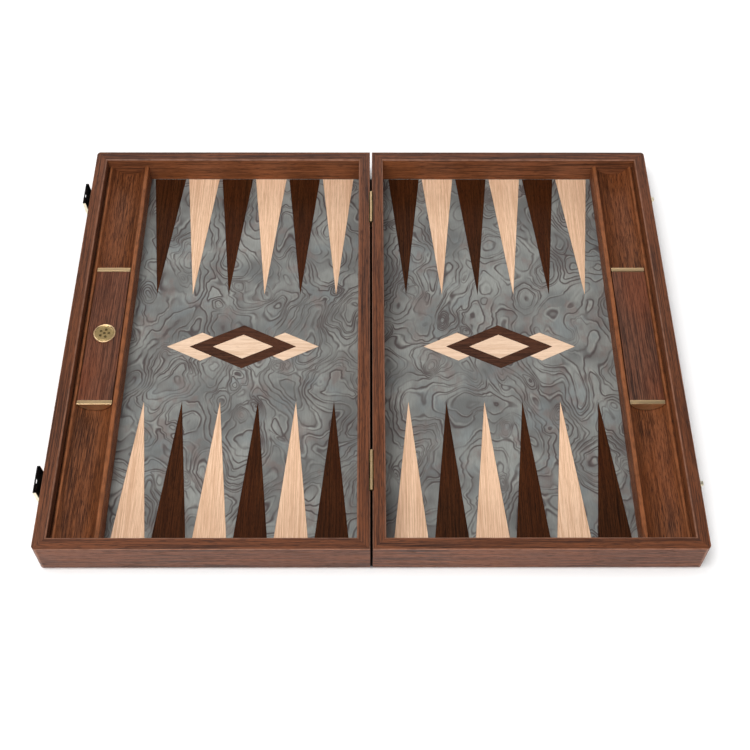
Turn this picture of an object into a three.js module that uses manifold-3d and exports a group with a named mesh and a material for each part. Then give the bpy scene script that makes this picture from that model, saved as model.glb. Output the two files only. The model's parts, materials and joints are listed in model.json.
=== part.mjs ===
// A folding wooden backgammon case: two mitred trays on a pair of butt hinges, a checker rack with a
// lidded dice box along each outer wall, inlaid points, and two hasps that hold the case shut.
// Millimetres, +Z up. The hinge line is the Y axis, and the case lies open on the plane z = 0.

import * as THREE from 'three';
import { mergeVertices } from 'three/addons/utils/BufferGeometryUtils.js';
import Module from 'manifold-3d';

const wasm = await Module();
wasm.setup();

// ---- Driving dimensions ------------------------------------------------------------------------

// The two trays
const CASE_WIDTH = 600;
const CASE_LENGTH = 480;
const TRAY_HEIGHT = 40.5;
const TRAY_GAP = 2.2;
const CLOSED_GAP = 0.2;
const WALL = 12;
const RIM_INNER_ROUND = 1.5;
const RIM_OUTER_ROUND = 0.8;
const LOWER_EDGE_ROUND = 3;
const MITRE_GAP = 0.15;

// The board that closes each tray from below
const BOARD_THICKNESS = 10.1;
const BOARD_REBATE = 6;
const BOARD_CLEARANCE = 0.3;

// The inlaid points and the diamond in the middle of each board
const POINTS_IN_ROW = 6;
const POINT_ROW_MARGIN = 7.3;
const POINT_ROW_SHIFT = 1.1;
const POINT_GAP = 3.4;
const POINT_TIP_FROM_CENTRE = 66.3;
const INLAY_THICKNESS = 0.6;
const INLAY_CLEARANCE = 0.3;
const GLUE_LINE = 0.1;
const DIAMOND_LENGTH = 106.8;
const DIAMOND_WIDTH = 53;

// The checker rack along each outer wall
const RACK_BELOW_RIM = 10;
const SHADOW_SLOT = 2;
const SHADOW_SLOT_DEPTH = 3;
const OUTER_LIP = 2.1;
const GROOVE_WIDTH = 36.3;
const GROOVE_DEPTH = 12.4;
const RAIL_WIDTH = 4;
const RAIL_ROUND = 1.9;
const LIP_ROUND = 0.9;

// The dice box in the middle of each rack: a pocket, two brass dividers and a lid between them
const DICE_BOX_LENGTH = 158.4;
const DICE_BOX_CENTRE_Y = 2;
const POCKET_WIDTH = 26;
const POCKET_END_WALL = 4;
const POCKET_FLOOR = 2;
const PLATE_THICKNESS = 4.5;
const PLATE_BELOW_RACK = 0.4;
const PLATE_CLEARANCE = 0.8;
const LID_THICKNESS = 3;
const LID_BELOW_RACK = 0.8;
const LID_SIDE_CLEARANCE = 0.8;
const LID_END_CLEARANCE = 0.4;

// The medallion on the left lid
const MEDALLION_RADIUS = 11;
const MEDALLION_THICKNESS = 1;
const MEDALLION_RIM_WIDTH = 1.2;
const MEDALLION_DISH = 0.3;

// The butt hinges
const HINGE_FROM_END = 80;
const HINGE_LENGTH = 42;
const HINGE_LEAF_DEPTH = 18;
const HINGE_LEAF_THICKNESS = 1;
const KNUCKLE_RADIUS = 1.6;
const HINGE_PIN_RADIUS = 0.8;
const MIDDLE_KNUCKLE_SHARE = 0.4;
const PIN_CLEARANCE = 0.2;
const KNUCKLE_CLEARANCE = 0.4;

// The hasps and the strikes that they close over
const LATCH_FROM_END = 67;
const HASP_WIDTH = 28;
const HASP_ABOVE_RIM = 6.5;
const HASP_SHEET = 0.8;
const HASP_DEPTH = 3;
const HASP_CLEARANCE = 0.3;
const HASP_LEAN_DEG = 4;
const HASP_PIN_BELOW_RIM = 12.5;
const HASP_PIN_FROM_WALL = 2;
const HASP_KNUCKLE_RADIUS = 1.5;
const HASP_PIN_RADIUS = 0.7;
const HASP_KNUCKLE_LENGTH = 9;
const LATCH_BASE_WIDTH = 20;
const LATCH_BASE_HEIGHT = 14;
const LATCH_BASE_SHEET = 0.9;
const STRIKE_BELOW_RIM = 2.4;
const STRIKE_NOSE = [2.9, 4, 2.4];
const STRIKE_PLATE = [0.8, 12, 9];
const STRIKE_CLEARANCE = 0.6;

// Facets in a quarter turn of a small edge, and in a whole turn of a round piece
const EDGE_FACETS = 4;
const ROUND_FACETS = 32;
const GROOVE_FACETS = 28;

// ---- Sizes that follow ---------------------------------------------------------------------------

const HALF_LENGTH = CASE_LENGTH / 2;
const OUTER_X = CASE_WIDTH / 2;
const INNER_X = TRAY_GAP / 2;
const TRAY_WIDTH = OUTER_X - INNER_X;
const HINGE_AXIS_Z = TRAY_HEIGHT + CLOSED_GAP / 2;
const WELL_HALF_LENGTH = HALF_LENGTH - WALL;
const RACK_TOP = TRAY_HEIGHT - RACK_BELOW_RIM;
const RACK_OUTER_X = OUTER_X - WALL;
const RACK_WIDTH = SHADOW_SLOT + OUTER_LIP + GROOVE_WIDTH + RAIL_WIDTH;
const GROOVE_CENTRE_U = SHADOW_SLOT + OUTER_LIP + GROOVE_WIDTH / 2;
const GROOVE_CENTRE_X = RACK_OUTER_X - GROOVE_CENTRE_U;
const GROOVE_RADIUS = (GROOVE_WIDTH ** 2 / 4 + GROOVE_DEPTH ** 2) / (2 * GROOVE_DEPTH);
const GROOVE_AXIS_Z = RACK_TOP - GROOVE_DEPTH + GROOVE_RADIUS;
const LID_TOP = RACK_TOP - LID_BELOW_RACK;
const FIELD_INNER_X = INNER_X + WALL;
const FIELD_OUTER_X = RACK_OUTER_X - RACK_WIDTH;
const POINT_PITCH = (FIELD_OUTER_X - FIELD_INNER_X - POINT_ROW_MARGIN) / POINTS_IN_ROW;
const POINT_BASE = POINT_PITCH - POINT_GAP;
const POINTS_CENTRE_X = (FIELD_INNER_X + FIELD_OUTER_X) / 2 + POINT_ROW_SHIFT;
const HINGE_CENTRE_Y = HALF_LENGTH - HINGE_FROM_END;
const LATCH_CENTRE_Y = HALF_LENGTH - LATCH_FROM_END;
const HASP_PIN_Z = TRAY_HEIGHT - HASP_PIN_BELOW_RIM;

const UP = new THREE.Vector3(0, 0, 1);

const WALNUT = { color: '#5b3a2e', roughness: 0.5, metalness: 0 };
const RACK_WALNUT = { color: '#6a3d27', roughness: 0.45, metalness: 0 };
const BURL = { color: '#6d6f6c', roughness: 0.4, metalness: 0 };
const LIGHT_VENEER = { color: '#e6bd97', roughness: 0.4, metalness: 0 };
const DARK_VENEER = { color: '#33221d', roughness: 0.4, metalness: 0 };
const BRASS = { color: '#c9a765', roughness: 0.25, metalness: 1 };

const group = new THREE.Group();

// ---- Tools for solids ----------------------------------------------------------------------------

function solidOf(geometry) {
  const bare = geometry.clone();
  bare.deleteAttribute('normal');
  bare.deleteAttribute('uv');
  const merged = mergeVertices(bare, 1e-4);
  const mesh = new wasm.Mesh({
    numProp: 3,
    vertProperties: Float32Array.from(merged.attributes.position.array),
    triVerts: Uint32Array.from(merged.index.array),
  });
  return new wasm.Manifold(mesh);
}

function add(name, solid, finish) {
  const cut = solid.getMesh();
  const geometry = new THREE.BufferGeometry();
  geometry.setAttribute('position', new THREE.BufferAttribute(Float32Array.from(cut.vertProperties), 3));
  geometry.setIndex(Array.from(cut.triVerts));
  geometry.computeVertexNormals();
  const mesh = new THREE.Mesh(geometry, new THREE.MeshStandardMaterial(finish));
  mesh.name = name;
  group.add(mesh);
}

// A box from its lowest to its highest corner; either may be given first.
function block(a, b) {
  const size = a.map((value, i) => Math.abs(b[i] - value));
  const geometry = new THREE.BoxGeometry(...size);
  geometry.translate(...a.map((value, i) => (value + b[i]) / 2));
  return solidOf(geometry);
}

// An outline of [x, y, radius] corners, with each corner rounded to its radius.
function roundedOutline(corners) {
  const points = [];
  corners.forEach(([x, y, radius = 0], i) => {
    const corner = new THREE.Vector2(x, y);
    if (radius === 0) {
      points.push(corner);
      return;
    }
    const before = corners[(i + corners.length - 1) % corners.length];
    const after = corners[(i + 1) % corners.length];
    const back = new THREE.Vector2(before[0], before[1]).sub(corner).normalize();
    const ahead = new THREE.Vector2(after[0], after[1]).sub(corner).normalize();
    const half = Math.acos(back.dot(ahead)) / 2;
    const reach = radius / Math.sin(half);
    const centre = back.clone().add(ahead).normalize().multiplyScalar(reach).add(corner);
    const tangent = radius / Math.tan(half);
    const first = back.multiplyScalar(tangent).add(corner).sub(centre);
    const last = ahead.multiplyScalar(tangent).add(corner).sub(centre);
    const turn = Math.atan2(first.cross(last), first.dot(last));
    for (let k = 0; k <= EDGE_FACETS; k += 1) {
      const at = first.clone().rotateAround(new THREE.Vector2(), (turn * k) / EDGE_FACETS);
      points.push(at.add(centre));
    }
  });
  return points;
}

// Extrudes an outline drawn in the plane of two directions, starting at a point.
function prism(points, depth, along, across, start) {
  const geometry = new THREE.ExtrudeGeometry(new THREE.Shape(points), { depth, bevelEnabled: false });
  const out = along.clone().cross(across);
  geometry.applyMatrix4(new THREE.Matrix4().makeBasis(along, across, out).setPosition(start));
  return solidOf(geometry);
}

// A flat prism standing on a height, from an outline in plan.
function slab(points, low, high) {
  const geometry = new THREE.ExtrudeGeometry(new THREE.Shape(points), {
    depth: high - low,
    bevelEnabled: false,
  });
  geometry.translate(0, 0, low);
  return solidOf(geometry);
}

// A round bar along Y.
function barAlongY(radius, x, z, fromY, toY) {
  const geometry = new THREE.CylinderGeometry(radius, radius, toY - fromY, ROUND_FACETS);
  geometry.translate(x, (fromY + toY) / 2, z);
  return solidOf(geometry);
}

// Moves every side of a convex outline out by a distance.
function spread(points, distance) {
  const middle = points.reduce((sum, p) => sum.add(p), new THREE.Vector2()).divideScalar(points.length);
  const sides = points.map((p, i) => {
    const side = points[(i + 1) % points.length].clone().sub(p).normalize();
    const normal = new THREE.Vector2(side.y, -side.x);
    if (normal.dot(p.clone().sub(middle)) < 0) normal.negate();
    return { normal, offset: normal.dot(p) + distance };
  });
  return sides.map((side, i) => {
    const before = sides[(i + sides.length - 1) % sides.length];
    const det = before.normal.cross(side.normal);
    const x = (before.offset * side.normal.y - side.offset * before.normal.y) / det;
    const y = (side.offset * before.normal.x - before.offset * side.normal.x) / det;
    return new THREE.Vector2(x, y);
  });
}

// ---- Trays ---------------------------------------------------------------------------------------

// A wall of one section with mitred ends. `inward` points from its outer face into the tray, and
// `middle` is the middle of the foot of its outer face.
function mitredWall(length, inward, middle) {
  const rebateHeight = BOARD_THICKNESS + BOARD_CLEARANCE;
  const section = roundedOutline([
    [0, 0, LOWER_EDGE_ROUND],
    [WALL - BOARD_REBATE, 0],
    [WALL - BOARD_REBATE, rebateHeight],
    [WALL, rebateHeight],
    [WALL, TRAY_HEIGHT, RIM_INNER_ROUND],
    [0, TRAY_HEIGHT, RIM_OUTER_ROUND],
  ]);
  const along = inward.clone().cross(UP);
  const start = middle.clone().addScaledVector(along, -length / 2);
  const bar = prism(section, length, inward, UP, start);
  const trim = MITRE_GAP / Math.SQRT2;
  const plan = [
    new THREE.Vector2(trim, 0),
    new THREE.Vector2(length - trim, 0),
    new THREE.Vector2(length - WALL - trim, WALL),
    new THREE.Vector2(WALL + trim, WALL),
  ];
  return bar.intersect(prism(plan, TRAY_HEIGHT, along, inward, start));
}

// What the two hinges take out of a hinge-side wall: a pocket for the leaf and a trough for the barrel.
function hingePockets(side) {
  let pockets = null;
  for (const y of [-HINGE_CENTRE_Y, HINGE_CENTRE_Y]) {
    const reach = HINGE_LENGTH / 2 + BOARD_CLEARANCE;
    const deep = INNER_X + HINGE_LEAF_THICKNESS + GLUE_LINE;
    const foot = TRAY_HEIGHT - HINGE_LEAF_DEPTH - BOARD_CLEARANCE;
    const pocket = block([0, y - reach, foot], [side * deep, y + reach, TRAY_HEIGHT]);
    const trough = barAlongY(KNUCKLE_RADIUS + KNUCKLE_CLEARANCE, 0, HINGE_AXIS_Z, y - reach, y + reach);
    const both = pocket.add(trough);
    pockets = pockets ? pockets.add(both) : both;
  }
  return pockets;
}

function pointOutline(side, index, end) {
  const x = side * POINTS_CENTRE_X + (index - (POINTS_IN_ROW - 1) / 2) * POINT_PITCH;
  const foot = end * (WELL_HALF_LENGTH - INLAY_CLEARANCE);
  return [
    new THREE.Vector2(x - POINT_BASE / 2, foot),
    new THREE.Vector2(x + POINT_BASE / 2, foot),
    new THREE.Vector2(x, end * POINT_TIP_FROM_CENTRE),
  ];
}

function diamondOutline(side) {
  const x = side * POINTS_CENTRE_X;
  return [
    new THREE.Vector2(x - DIAMOND_LENGTH / 2, 0),
    new THREE.Vector2(x, -DIAMOND_WIDTH / 2),
    new THREE.Vector2(x + DIAMOND_LENGTH / 2, 0),
    new THREE.Vector2(x, DIAMOND_WIDTH / 2),
  ];
}

function addInlay(name, outline, finish) {
  add(name, slab(outline, BOARD_THICKNESS - INLAY_THICKNESS, BOARD_THICKNESS), finish);
}

function recessFor(outline) {
  const floor = BOARD_THICKNESS - INLAY_THICKNESS - GLUE_LINE;
  return slab(spread(outline, INLAY_CLEARANCE), floor, BOARD_THICKNESS + 1);
}

function addTray(side, name) {
  const inward = new THREE.Vector3(-side, 0, 0);
  const middleX = side * (INNER_X + TRAY_WIDTH / 2);
  const outerWall = mitredWall(CASE_LENGTH, inward, new THREE.Vector3(side * OUTER_X, 0, 0));
  const hingeWall = mitredWall(
    CASE_LENGTH,
    inward.clone().negate(),
    new THREE.Vector3(side * INNER_X, 0, 0),
  );
  add(`${name}_outer_wall`, outerWall, WALNUT);
  add(`${name}_hinge_wall`, hingeWall.subtract(hingePockets(side)), WALNUT);
  for (const [end, where] of [[1, 'back'], [-1, 'front']]) {
    const foot = new THREE.Vector3(middleX, end * HALF_LENGTH, 0);
    add(`${name}_${where}_wall`, mitredWall(TRAY_WIDTH, new THREE.Vector3(0, -end, 0), foot), WALNUT);
  }

  const edge = WALL - BOARD_REBATE + BOARD_CLEARANCE;
  let board = block(
    [side * (INNER_X + edge), -HALF_LENGTH + edge, 0],
    [side * (OUTER_X - edge), HALF_LENGTH - edge, BOARD_THICKNESS],
  );
  for (const [end, row] of [[1, 'back'], [-1, 'front']]) {
    for (let index = 0; index < POINTS_IN_ROW; index += 1) {
      const outline = pointOutline(side, index, end);
      const dark = (index % 2 === 0) === (end > 0);
      board = board.subtract(recessFor(outline));
      addInlay(`${name}_${row}_point_${index + 1}`, outline, dark ? DARK_VENEER : LIGHT_VENEER);
    }
  }
  board = board.subtract(recessFor(diamondOutline(side)));
  addInlay(`${name}_centre_diamond`, diamondOutline(side), DARK_VENEER);
  add(`${name}_board`, board, BURL);
}

// ---- Racks, dice boxes and the medallion ------------------------------------------------------------

// Points along the lower arc of a circle round the groove's axis, between two heights on its two sides,
// from the outer wall towards the playing field.
function grooveArc(centreU, radius, height) {
  const half = Math.acos((GROOVE_AXIS_Z - height) / radius);
  const points = [];
  for (let k = 0; k <= GROOVE_FACETS; k += 1) {
    const angle = half * (1 - (2 * k) / GROOVE_FACETS);
    points.push([centreU - radius * Math.sin(angle), GROOVE_AXIS_Z - radius * Math.cos(angle), 0]);
  }
  return points;
}

function addRack(side, name) {
  const foot = BOARD_THICKNESS + GLUE_LINE;
  const arc = grooveArc(GROOVE_CENTRE_U, GROOVE_RADIUS, RACK_TOP);
  arc[0][2] = LIP_ROUND * 0.5;
  arc[arc.length - 1][2] = LIP_ROUND * 0.5;
  const section = roundedOutline([
    [MITRE_GAP, foot],
    [MITRE_GAP, RACK_TOP - SHADOW_SLOT_DEPTH],
    [SHADOW_SLOT, RACK_TOP - SHADOW_SLOT_DEPTH],
    [SHADOW_SLOT, RACK_TOP, LIP_ROUND],
    ...arc,
    [RACK_WIDTH, RACK_TOP, RAIL_ROUND],
    [RACK_WIDTH, foot],
  ]);
  const length = 2 * (WELL_HALF_LENGTH - MITRE_GAP);
  const inward = new THREE.Vector3(-side, 0, 0);
  const along = inward.clone().cross(UP);
  const start = new THREE.Vector3(side * RACK_OUTER_X, 0, 0).addScaledVector(along, -length / 2);
  const halfPocket = DICE_BOX_LENGTH / 2 - POCKET_END_WALL;
  const pocket = block(
    [side * GROOVE_CENTRE_X - POCKET_WIDTH / 2, DICE_BOX_CENTRE_Y - halfPocket, foot + POCKET_FLOOR],
    [side * GROOVE_CENTRE_X + POCKET_WIDTH / 2, DICE_BOX_CENTRE_Y + halfPocket, RACK_TOP],
  );
  add(`${name}_rack`, prism(section, length, inward, UP, start).subtract(pocket), RACK_WALNUT);
}

// A piece that lies in the groove: the segment of its circle between two heights.
function grooveFiller(side, clearance, low, high, fromY, toY) {
  const radius = GROOVE_RADIUS - clearance;
  const arc = grooveArc(0, radius, high).map(([u, z]) => new THREE.Vector2(u, z));
  const start = new THREE.Vector3(side * GROOVE_CENTRE_X, toY, 0);
  const whole = prism(arc, toY - fromY, new THREE.Vector3(1, 0, 0), UP, start);
  const keep = block(
    [side * GROOVE_CENTRE_X - radius, fromY, low],
    [side * GROOVE_CENTRE_X + radius, toY, high],
  );
  return whole.intersect(keep);
}

function addDiceBox(side, name) {
  const half = DICE_BOX_LENGTH / 2;
  const plateTop = RACK_TOP - PLATE_BELOW_RACK;
  for (const [end, where] of [[1, 'back'], [-1, 'front']]) {
    const ys = [half, half + PLATE_THICKNESS].map((y) => DICE_BOX_CENTRE_Y + end * y).sort((a, b) => a - b);
    const plate = grooveFiller(side, PLATE_CLEARANCE, 0, plateTop, ...ys);
    add(`${name}_${where}_divider`, plate, BRASS);
  }
  const lidHalf = half - LID_END_CLEARANCE;
  const lidEnds = [DICE_BOX_CENTRE_Y - lidHalf, DICE_BOX_CENTRE_Y + lidHalf];
  const lid = grooveFiller(side, LID_SIDE_CLEARANCE, LID_TOP - LID_THICKNESS, LID_TOP, ...lidEnds);
  add(`${name}_dice_lid`, lid, RACK_WALNUT);
}

function addMedallion() {
  const inner = MEDALLION_RADIUS - MEDALLION_RIM_WIDTH;
  const floor = MEDALLION_THICKNESS - MEDALLION_DISH;
  const profile = [
    [0, 0],
    [MEDALLION_RADIUS, 0],
    [MEDALLION_RADIUS, MEDALLION_THICKNESS],
    [inner, MEDALLION_THICKNESS],
    [inner - MEDALLION_DISH, floor],
    [0, floor],
  ].map(([radius, height]) => new THREE.Vector2(radius, height));
  const disc = new THREE.LatheGeometry(profile, ROUND_FACETS);
  disc.rotateX(Math.PI / 2);
  disc.translate(-GROOVE_CENTRE_X, DICE_BOX_CENTRE_Y, LID_TOP + GLUE_LINE);
  add('medallion', solidOf(disc), BRASS);
}

// ---- Hinges ------------------------------------------------------------------------------------------

// One leaf with its knuckles. `spans` are the stretches of Y that its own knuckles fill, and `others`
// are those of the opposite leaf, which it leaves clear.
function hingeLeaf(side, y, spans, others) {
  const top = HINGE_AXIS_Z;
  const low = [side * INNER_X, y - HINGE_LENGTH / 2, TRAY_HEIGHT - HINGE_LEAF_DEPTH];
  const high = [side * (INNER_X + HINGE_LEAF_THICKNESS), y + HINGE_LENGTH / 2, top];
  let leaf = block(low, high);
  for (const [from, to] of others) {
    const clear = KNUCKLE_RADIUS + KNUCKLE_CLEARANCE;
    leaf = leaf.subtract(barAlongY(clear, 0, HINGE_AXIS_Z, from - PIN_CLEARANCE, to + PIN_CLEARANCE));
  }
  for (const [from, to] of spans) {
    leaf = leaf.add(barAlongY(KNUCKLE_RADIUS, 0, HINGE_AXIS_Z, from, to));
  }
  const bore = barAlongY(HINGE_PIN_RADIUS + PIN_CLEARANCE, 0, HINGE_AXIS_Z, y - HINGE_LENGTH, y + HINGE_LENGTH);
  return leaf.subtract(bore);
}

function addHinge(y, name) {
  const half = HINGE_LENGTH / 2;
  const middle = (HINGE_LENGTH * MIDDLE_KNUCKLE_SHARE) / 2;
  const ends = [
    [y - half, y - middle - PIN_CLEARANCE],
    [y + middle + PIN_CLEARANCE, y + half],
  ];
  const centre = [[y - middle, y + middle]];
  add(`${name}_hinge_left_leaf`, hingeLeaf(-1, y, ends, centre), BRASS);
  add(`${name}_hinge_right_leaf`, hingeLeaf(1, y, centre, ends), BRASS);
  add(`${name}_hinge_pin`, barAlongY(HINGE_PIN_RADIUS, 0, HINGE_AXIS_Z, y - half, y + half), BRASS);
}

// ---- Hasps and strikes ---------------------------------------------------------------------------------

// The hasp is drawn shut, flat against the outer wall, and then leans out about its pin.
function addLatch(y, name) {
  const wallX = -OUTER_X;
  const pinX = wallX - HASP_PIN_FROM_WALL;
  const closedInnerX = wallX - HASP_CLEARANCE;
  const frontX = closedInnerX - HASP_DEPTH;
  const top = TRAY_HEIGHT + HASP_ABOVE_RIM;
  const plateFoot = HASP_PIN_Z + HASP_KNUCKLE_RADIUS + KNUCKLE_CLEARANCE;
  const halfWidth = HASP_WIDTH / 2;
  const halfKnuckle = HASP_KNUCKLE_LENGTH / 2;
  const boreRadius = HASP_PIN_RADIUS + PIN_CLEARANCE;
  const bore = barAlongY(boreRadius, pinX, HASP_PIN_Z, y - HASP_WIDTH, y + HASP_WIDTH);

  let hasp = block([frontX, y - halfWidth, plateFoot], [frontX + HASP_SHEET, y + halfWidth, top]);
  for (const end of [-1, 1]) {
    const outerY = y + end * halfWidth;
    hasp = hasp.add(block([frontX, outerY, plateFoot], [closedInnerX, outerY - end * HASP_SHEET, top]));
  }
  const neck = block(
    [frontX, y - halfKnuckle, HASP_PIN_Z],
    [frontX + HASP_SHEET, y + halfKnuckle, plateFoot],
  );
  hasp = hasp.add(neck);
  hasp = hasp.add(barAlongY(HASP_KNUCKLE_RADIUS, pinX, HASP_PIN_Z, y - halfKnuckle, y + halfKnuckle));
  hasp = hasp.subtract(bore);
  const strikeZ = 2 * HINGE_AXIS_Z - (TRAY_HEIGHT - STRIKE_BELOW_RIM);
  const slotY = STRIKE_NOSE[1] / 2 + STRIKE_CLEARANCE;
  const slotZ = STRIKE_NOSE[2] / 2 + STRIKE_CLEARANCE;
  hasp = hasp.subtract(
    block([frontX - 1, y - slotY, strikeZ - slotZ], [frontX + HASP_SHEET + 1, y + slotY, strikeZ + slotZ]),
  );
  const leaning = hasp
    .translate([-pinX, 0, -HASP_PIN_Z])
    .rotate([0, -HASP_LEAN_DEG, 0])
    .translate([pinX, 0, HASP_PIN_Z]);
  add(`${name}_hasp`, leaning, BRASS);

  const halfBase = LATCH_BASE_WIDTH / 2;
  let base = block(
    [wallX - GLUE_LINE, y - halfBase, HASP_PIN_Z - LATCH_BASE_HEIGHT],
    [wallX - GLUE_LINE - LATCH_BASE_SHEET, y + halfBase, HASP_PIN_Z],
  );
  const clear = HASP_KNUCKLE_RADIUS + KNUCKLE_CLEARANCE;
  const gapEnd = halfKnuckle + PIN_CLEARANCE;
  base = base.subtract(barAlongY(clear, pinX, HASP_PIN_Z, y - gapEnd, y + gapEnd));
  base = base.add(barAlongY(HASP_KNUCKLE_RADIUS, pinX, HASP_PIN_Z, y - halfBase, y - gapEnd));
  base = base.add(barAlongY(HASP_KNUCKLE_RADIUS, pinX, HASP_PIN_Z, y + gapEnd, y + halfBase));
  add(`${name}_latch_base`, base.subtract(bore), BRASS);
  add(`${name}_latch_pin`, barAlongY(HASP_PIN_RADIUS, pinX, HASP_PIN_Z, y - halfBase, y + halfBase), BRASS);
}

function addStrike(y, name) {
  const face = OUTER_X + GLUE_LINE;
  const noseZ = TRAY_HEIGHT - STRIKE_BELOW_RIM;
  const plate = block(
    [face, y - STRIKE_PLATE[1] / 2, noseZ - STRIKE_PLATE[2]],
    [face + STRIKE_PLATE[0], y + STRIKE_PLATE[1] / 2, noseZ],
  );
  const nose = block(
    [face, y - STRIKE_NOSE[1] / 2, noseZ - STRIKE_NOSE[2] / 2],
    [OUTER_X + STRIKE_NOSE[0], y + STRIKE_NOSE[1] / 2, noseZ + STRIKE_NOSE[2] / 2],
  );
  add(`${name}_strike`, plate.add(nose), BRASS);
}

// ---- The whole case --------------------------------------------------------------------------------------

for (const [side, name] of [[-1, 'left'], [1, 'right']]) {
  addTray(side, name);
  addRack(side, name);
  addDiceBox(side, name);
}
addMedallion();
for (const [end, name] of [[1, 'back'], [-1, 'front']]) {
  addHinge(end * HINGE_CENTRE_Y, name);
  addLatch(end * LATCH_CENTRE_Y, name);
  addStrike(end * LATCH_CENTRE_Y, name);
}

export default group;
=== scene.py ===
# %% [markdown]
# # A folding backgammon case in walnut and burl
# This lesson dresses the fixed frame of a backgammon case with finished pieces: mitred walnut walls,
# veneered boards with inlaid points, moulded checker racks, brass fittings and their screws. The frame
# gives every place and size. Each step says what the piece is on the real case and why it is made so.

# %% Load the frame
import json
import math

import bmesh
import bpy
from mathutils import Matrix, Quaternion, Vector

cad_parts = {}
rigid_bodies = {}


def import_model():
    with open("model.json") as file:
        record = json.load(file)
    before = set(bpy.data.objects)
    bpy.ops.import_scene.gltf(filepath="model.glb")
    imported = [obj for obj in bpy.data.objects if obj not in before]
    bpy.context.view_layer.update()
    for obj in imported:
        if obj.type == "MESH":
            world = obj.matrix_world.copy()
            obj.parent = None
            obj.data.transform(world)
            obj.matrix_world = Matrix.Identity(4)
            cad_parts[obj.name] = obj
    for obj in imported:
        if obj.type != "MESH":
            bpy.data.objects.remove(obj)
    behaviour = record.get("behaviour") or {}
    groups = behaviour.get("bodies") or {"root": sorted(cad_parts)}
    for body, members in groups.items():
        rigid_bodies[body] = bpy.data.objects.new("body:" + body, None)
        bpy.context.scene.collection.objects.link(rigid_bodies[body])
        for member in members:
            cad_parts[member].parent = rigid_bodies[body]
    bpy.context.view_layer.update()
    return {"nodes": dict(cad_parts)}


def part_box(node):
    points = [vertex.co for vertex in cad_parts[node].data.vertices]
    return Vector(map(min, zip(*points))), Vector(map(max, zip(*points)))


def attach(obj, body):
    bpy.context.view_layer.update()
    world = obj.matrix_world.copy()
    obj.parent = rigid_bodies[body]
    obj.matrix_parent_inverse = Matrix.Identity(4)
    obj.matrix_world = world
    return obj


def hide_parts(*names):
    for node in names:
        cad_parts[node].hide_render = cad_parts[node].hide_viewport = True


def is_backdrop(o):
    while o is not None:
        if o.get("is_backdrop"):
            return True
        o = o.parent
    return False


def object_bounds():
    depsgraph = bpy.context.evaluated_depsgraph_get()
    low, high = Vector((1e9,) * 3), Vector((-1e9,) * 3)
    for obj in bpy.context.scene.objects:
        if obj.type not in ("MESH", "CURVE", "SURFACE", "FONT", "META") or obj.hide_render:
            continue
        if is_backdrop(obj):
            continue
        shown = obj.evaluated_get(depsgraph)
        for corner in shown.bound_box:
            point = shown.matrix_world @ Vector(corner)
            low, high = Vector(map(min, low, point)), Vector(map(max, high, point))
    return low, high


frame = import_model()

MM = 0.001
X, Y, Z = Vector((1, 0, 0)), Vector((0, 1, 0)), Vector((0, 0, 1))
SIDES = (("left", -1), ("right", 1))
SIDE_NAMES = {side: name for name, side in SIDES}
ENDS = (("back", 1), ("front", -1))

# %% [markdown]
# ## Small helpers for node trees
# A material or a geometry tree is a graph, and most lines of a graph are "make this node, set these
# inputs". Three short helpers keep that readable: `put` makes a node, `calc` a sum, and `blend` mixes
# two colours.

# %% Node helpers
def put(tree, kind, inputs=None, **settings):
    """Makes a node. Inputs may be values or other nodes' output sockets."""
    made = tree.nodes.new(kind)
    for key, value in settings.items():
        setattr(made, key, value)
    for key, value in (inputs or {}).items():
        if isinstance(value, bpy.types.NodeSocket):
            tree.links.new(value, made.inputs[key])
        else:
            made.inputs[key].default_value = value
    return made


def calc(tree, operation, *values):
    made = put(tree, "ShaderNodeMath", dict(enumerate(values)), operation=operation)
    return made.outputs[0]


def calc_vector(tree, operation, *values):
    made = put(tree, "ShaderNodeVectorMath", dict(enumerate(values)), operation=operation)
    return made.outputs["Vector"]


def stretch(tree, vector, factors):
    return calc_vector(tree, "MULTIPLY", vector, factors)


def noise(tree, vector, scale, detail=2.0, roughness=0.5, output="Fac"):
    inputs = {"Vector": vector, "Scale": scale, "Detail": detail, "Roughness": roughness}
    return put(tree, "ShaderNodeTexNoise", inputs).outputs[output]


def fade(tree, value, low, high, bottom=0.0, top=1.0):
    """Maps value smoothly from the stretch low..high to bottom..top."""
    inputs = {"Value": value, "From Min": low, "From Max": high, "To Min": bottom, "To Max": top}
    return put(tree, "ShaderNodeMapRange", inputs, interpolation_type="SMOOTHSTEP").outputs["Result"]


def blend(tree, factor, first, second):
    return put(tree, "ShaderNodeMix", {0: factor, 6: first, 7: second}, data_type="RGBA").outputs[2]


def new_group(name, inputs, outputs, kind="ShaderNodeTree"):
    """A node group with named sockets, and its two end nodes."""
    tree = bpy.data.node_groups.new(name, kind)
    for label, socket_type, value in inputs:
        socket = tree.interface.new_socket(label, in_out="INPUT", socket_type=socket_type)
        if value is not None:
            socket.default_value = value
    for label, socket_type in outputs:
        tree.interface.new_socket(label, in_out="OUTPUT", socket_type=socket_type)
    return tree, put(tree, "NodeGroupInput"), put(tree, "NodeGroupOutput")


def use_group(tree, group, inputs):
    return put(tree, "ShaderNodeGroup", inputs, node_tree=group).outputs


VECTOR, FLOAT = "NodeSocketVector", "NodeSocketFloat"
print("node helpers ready")
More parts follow.
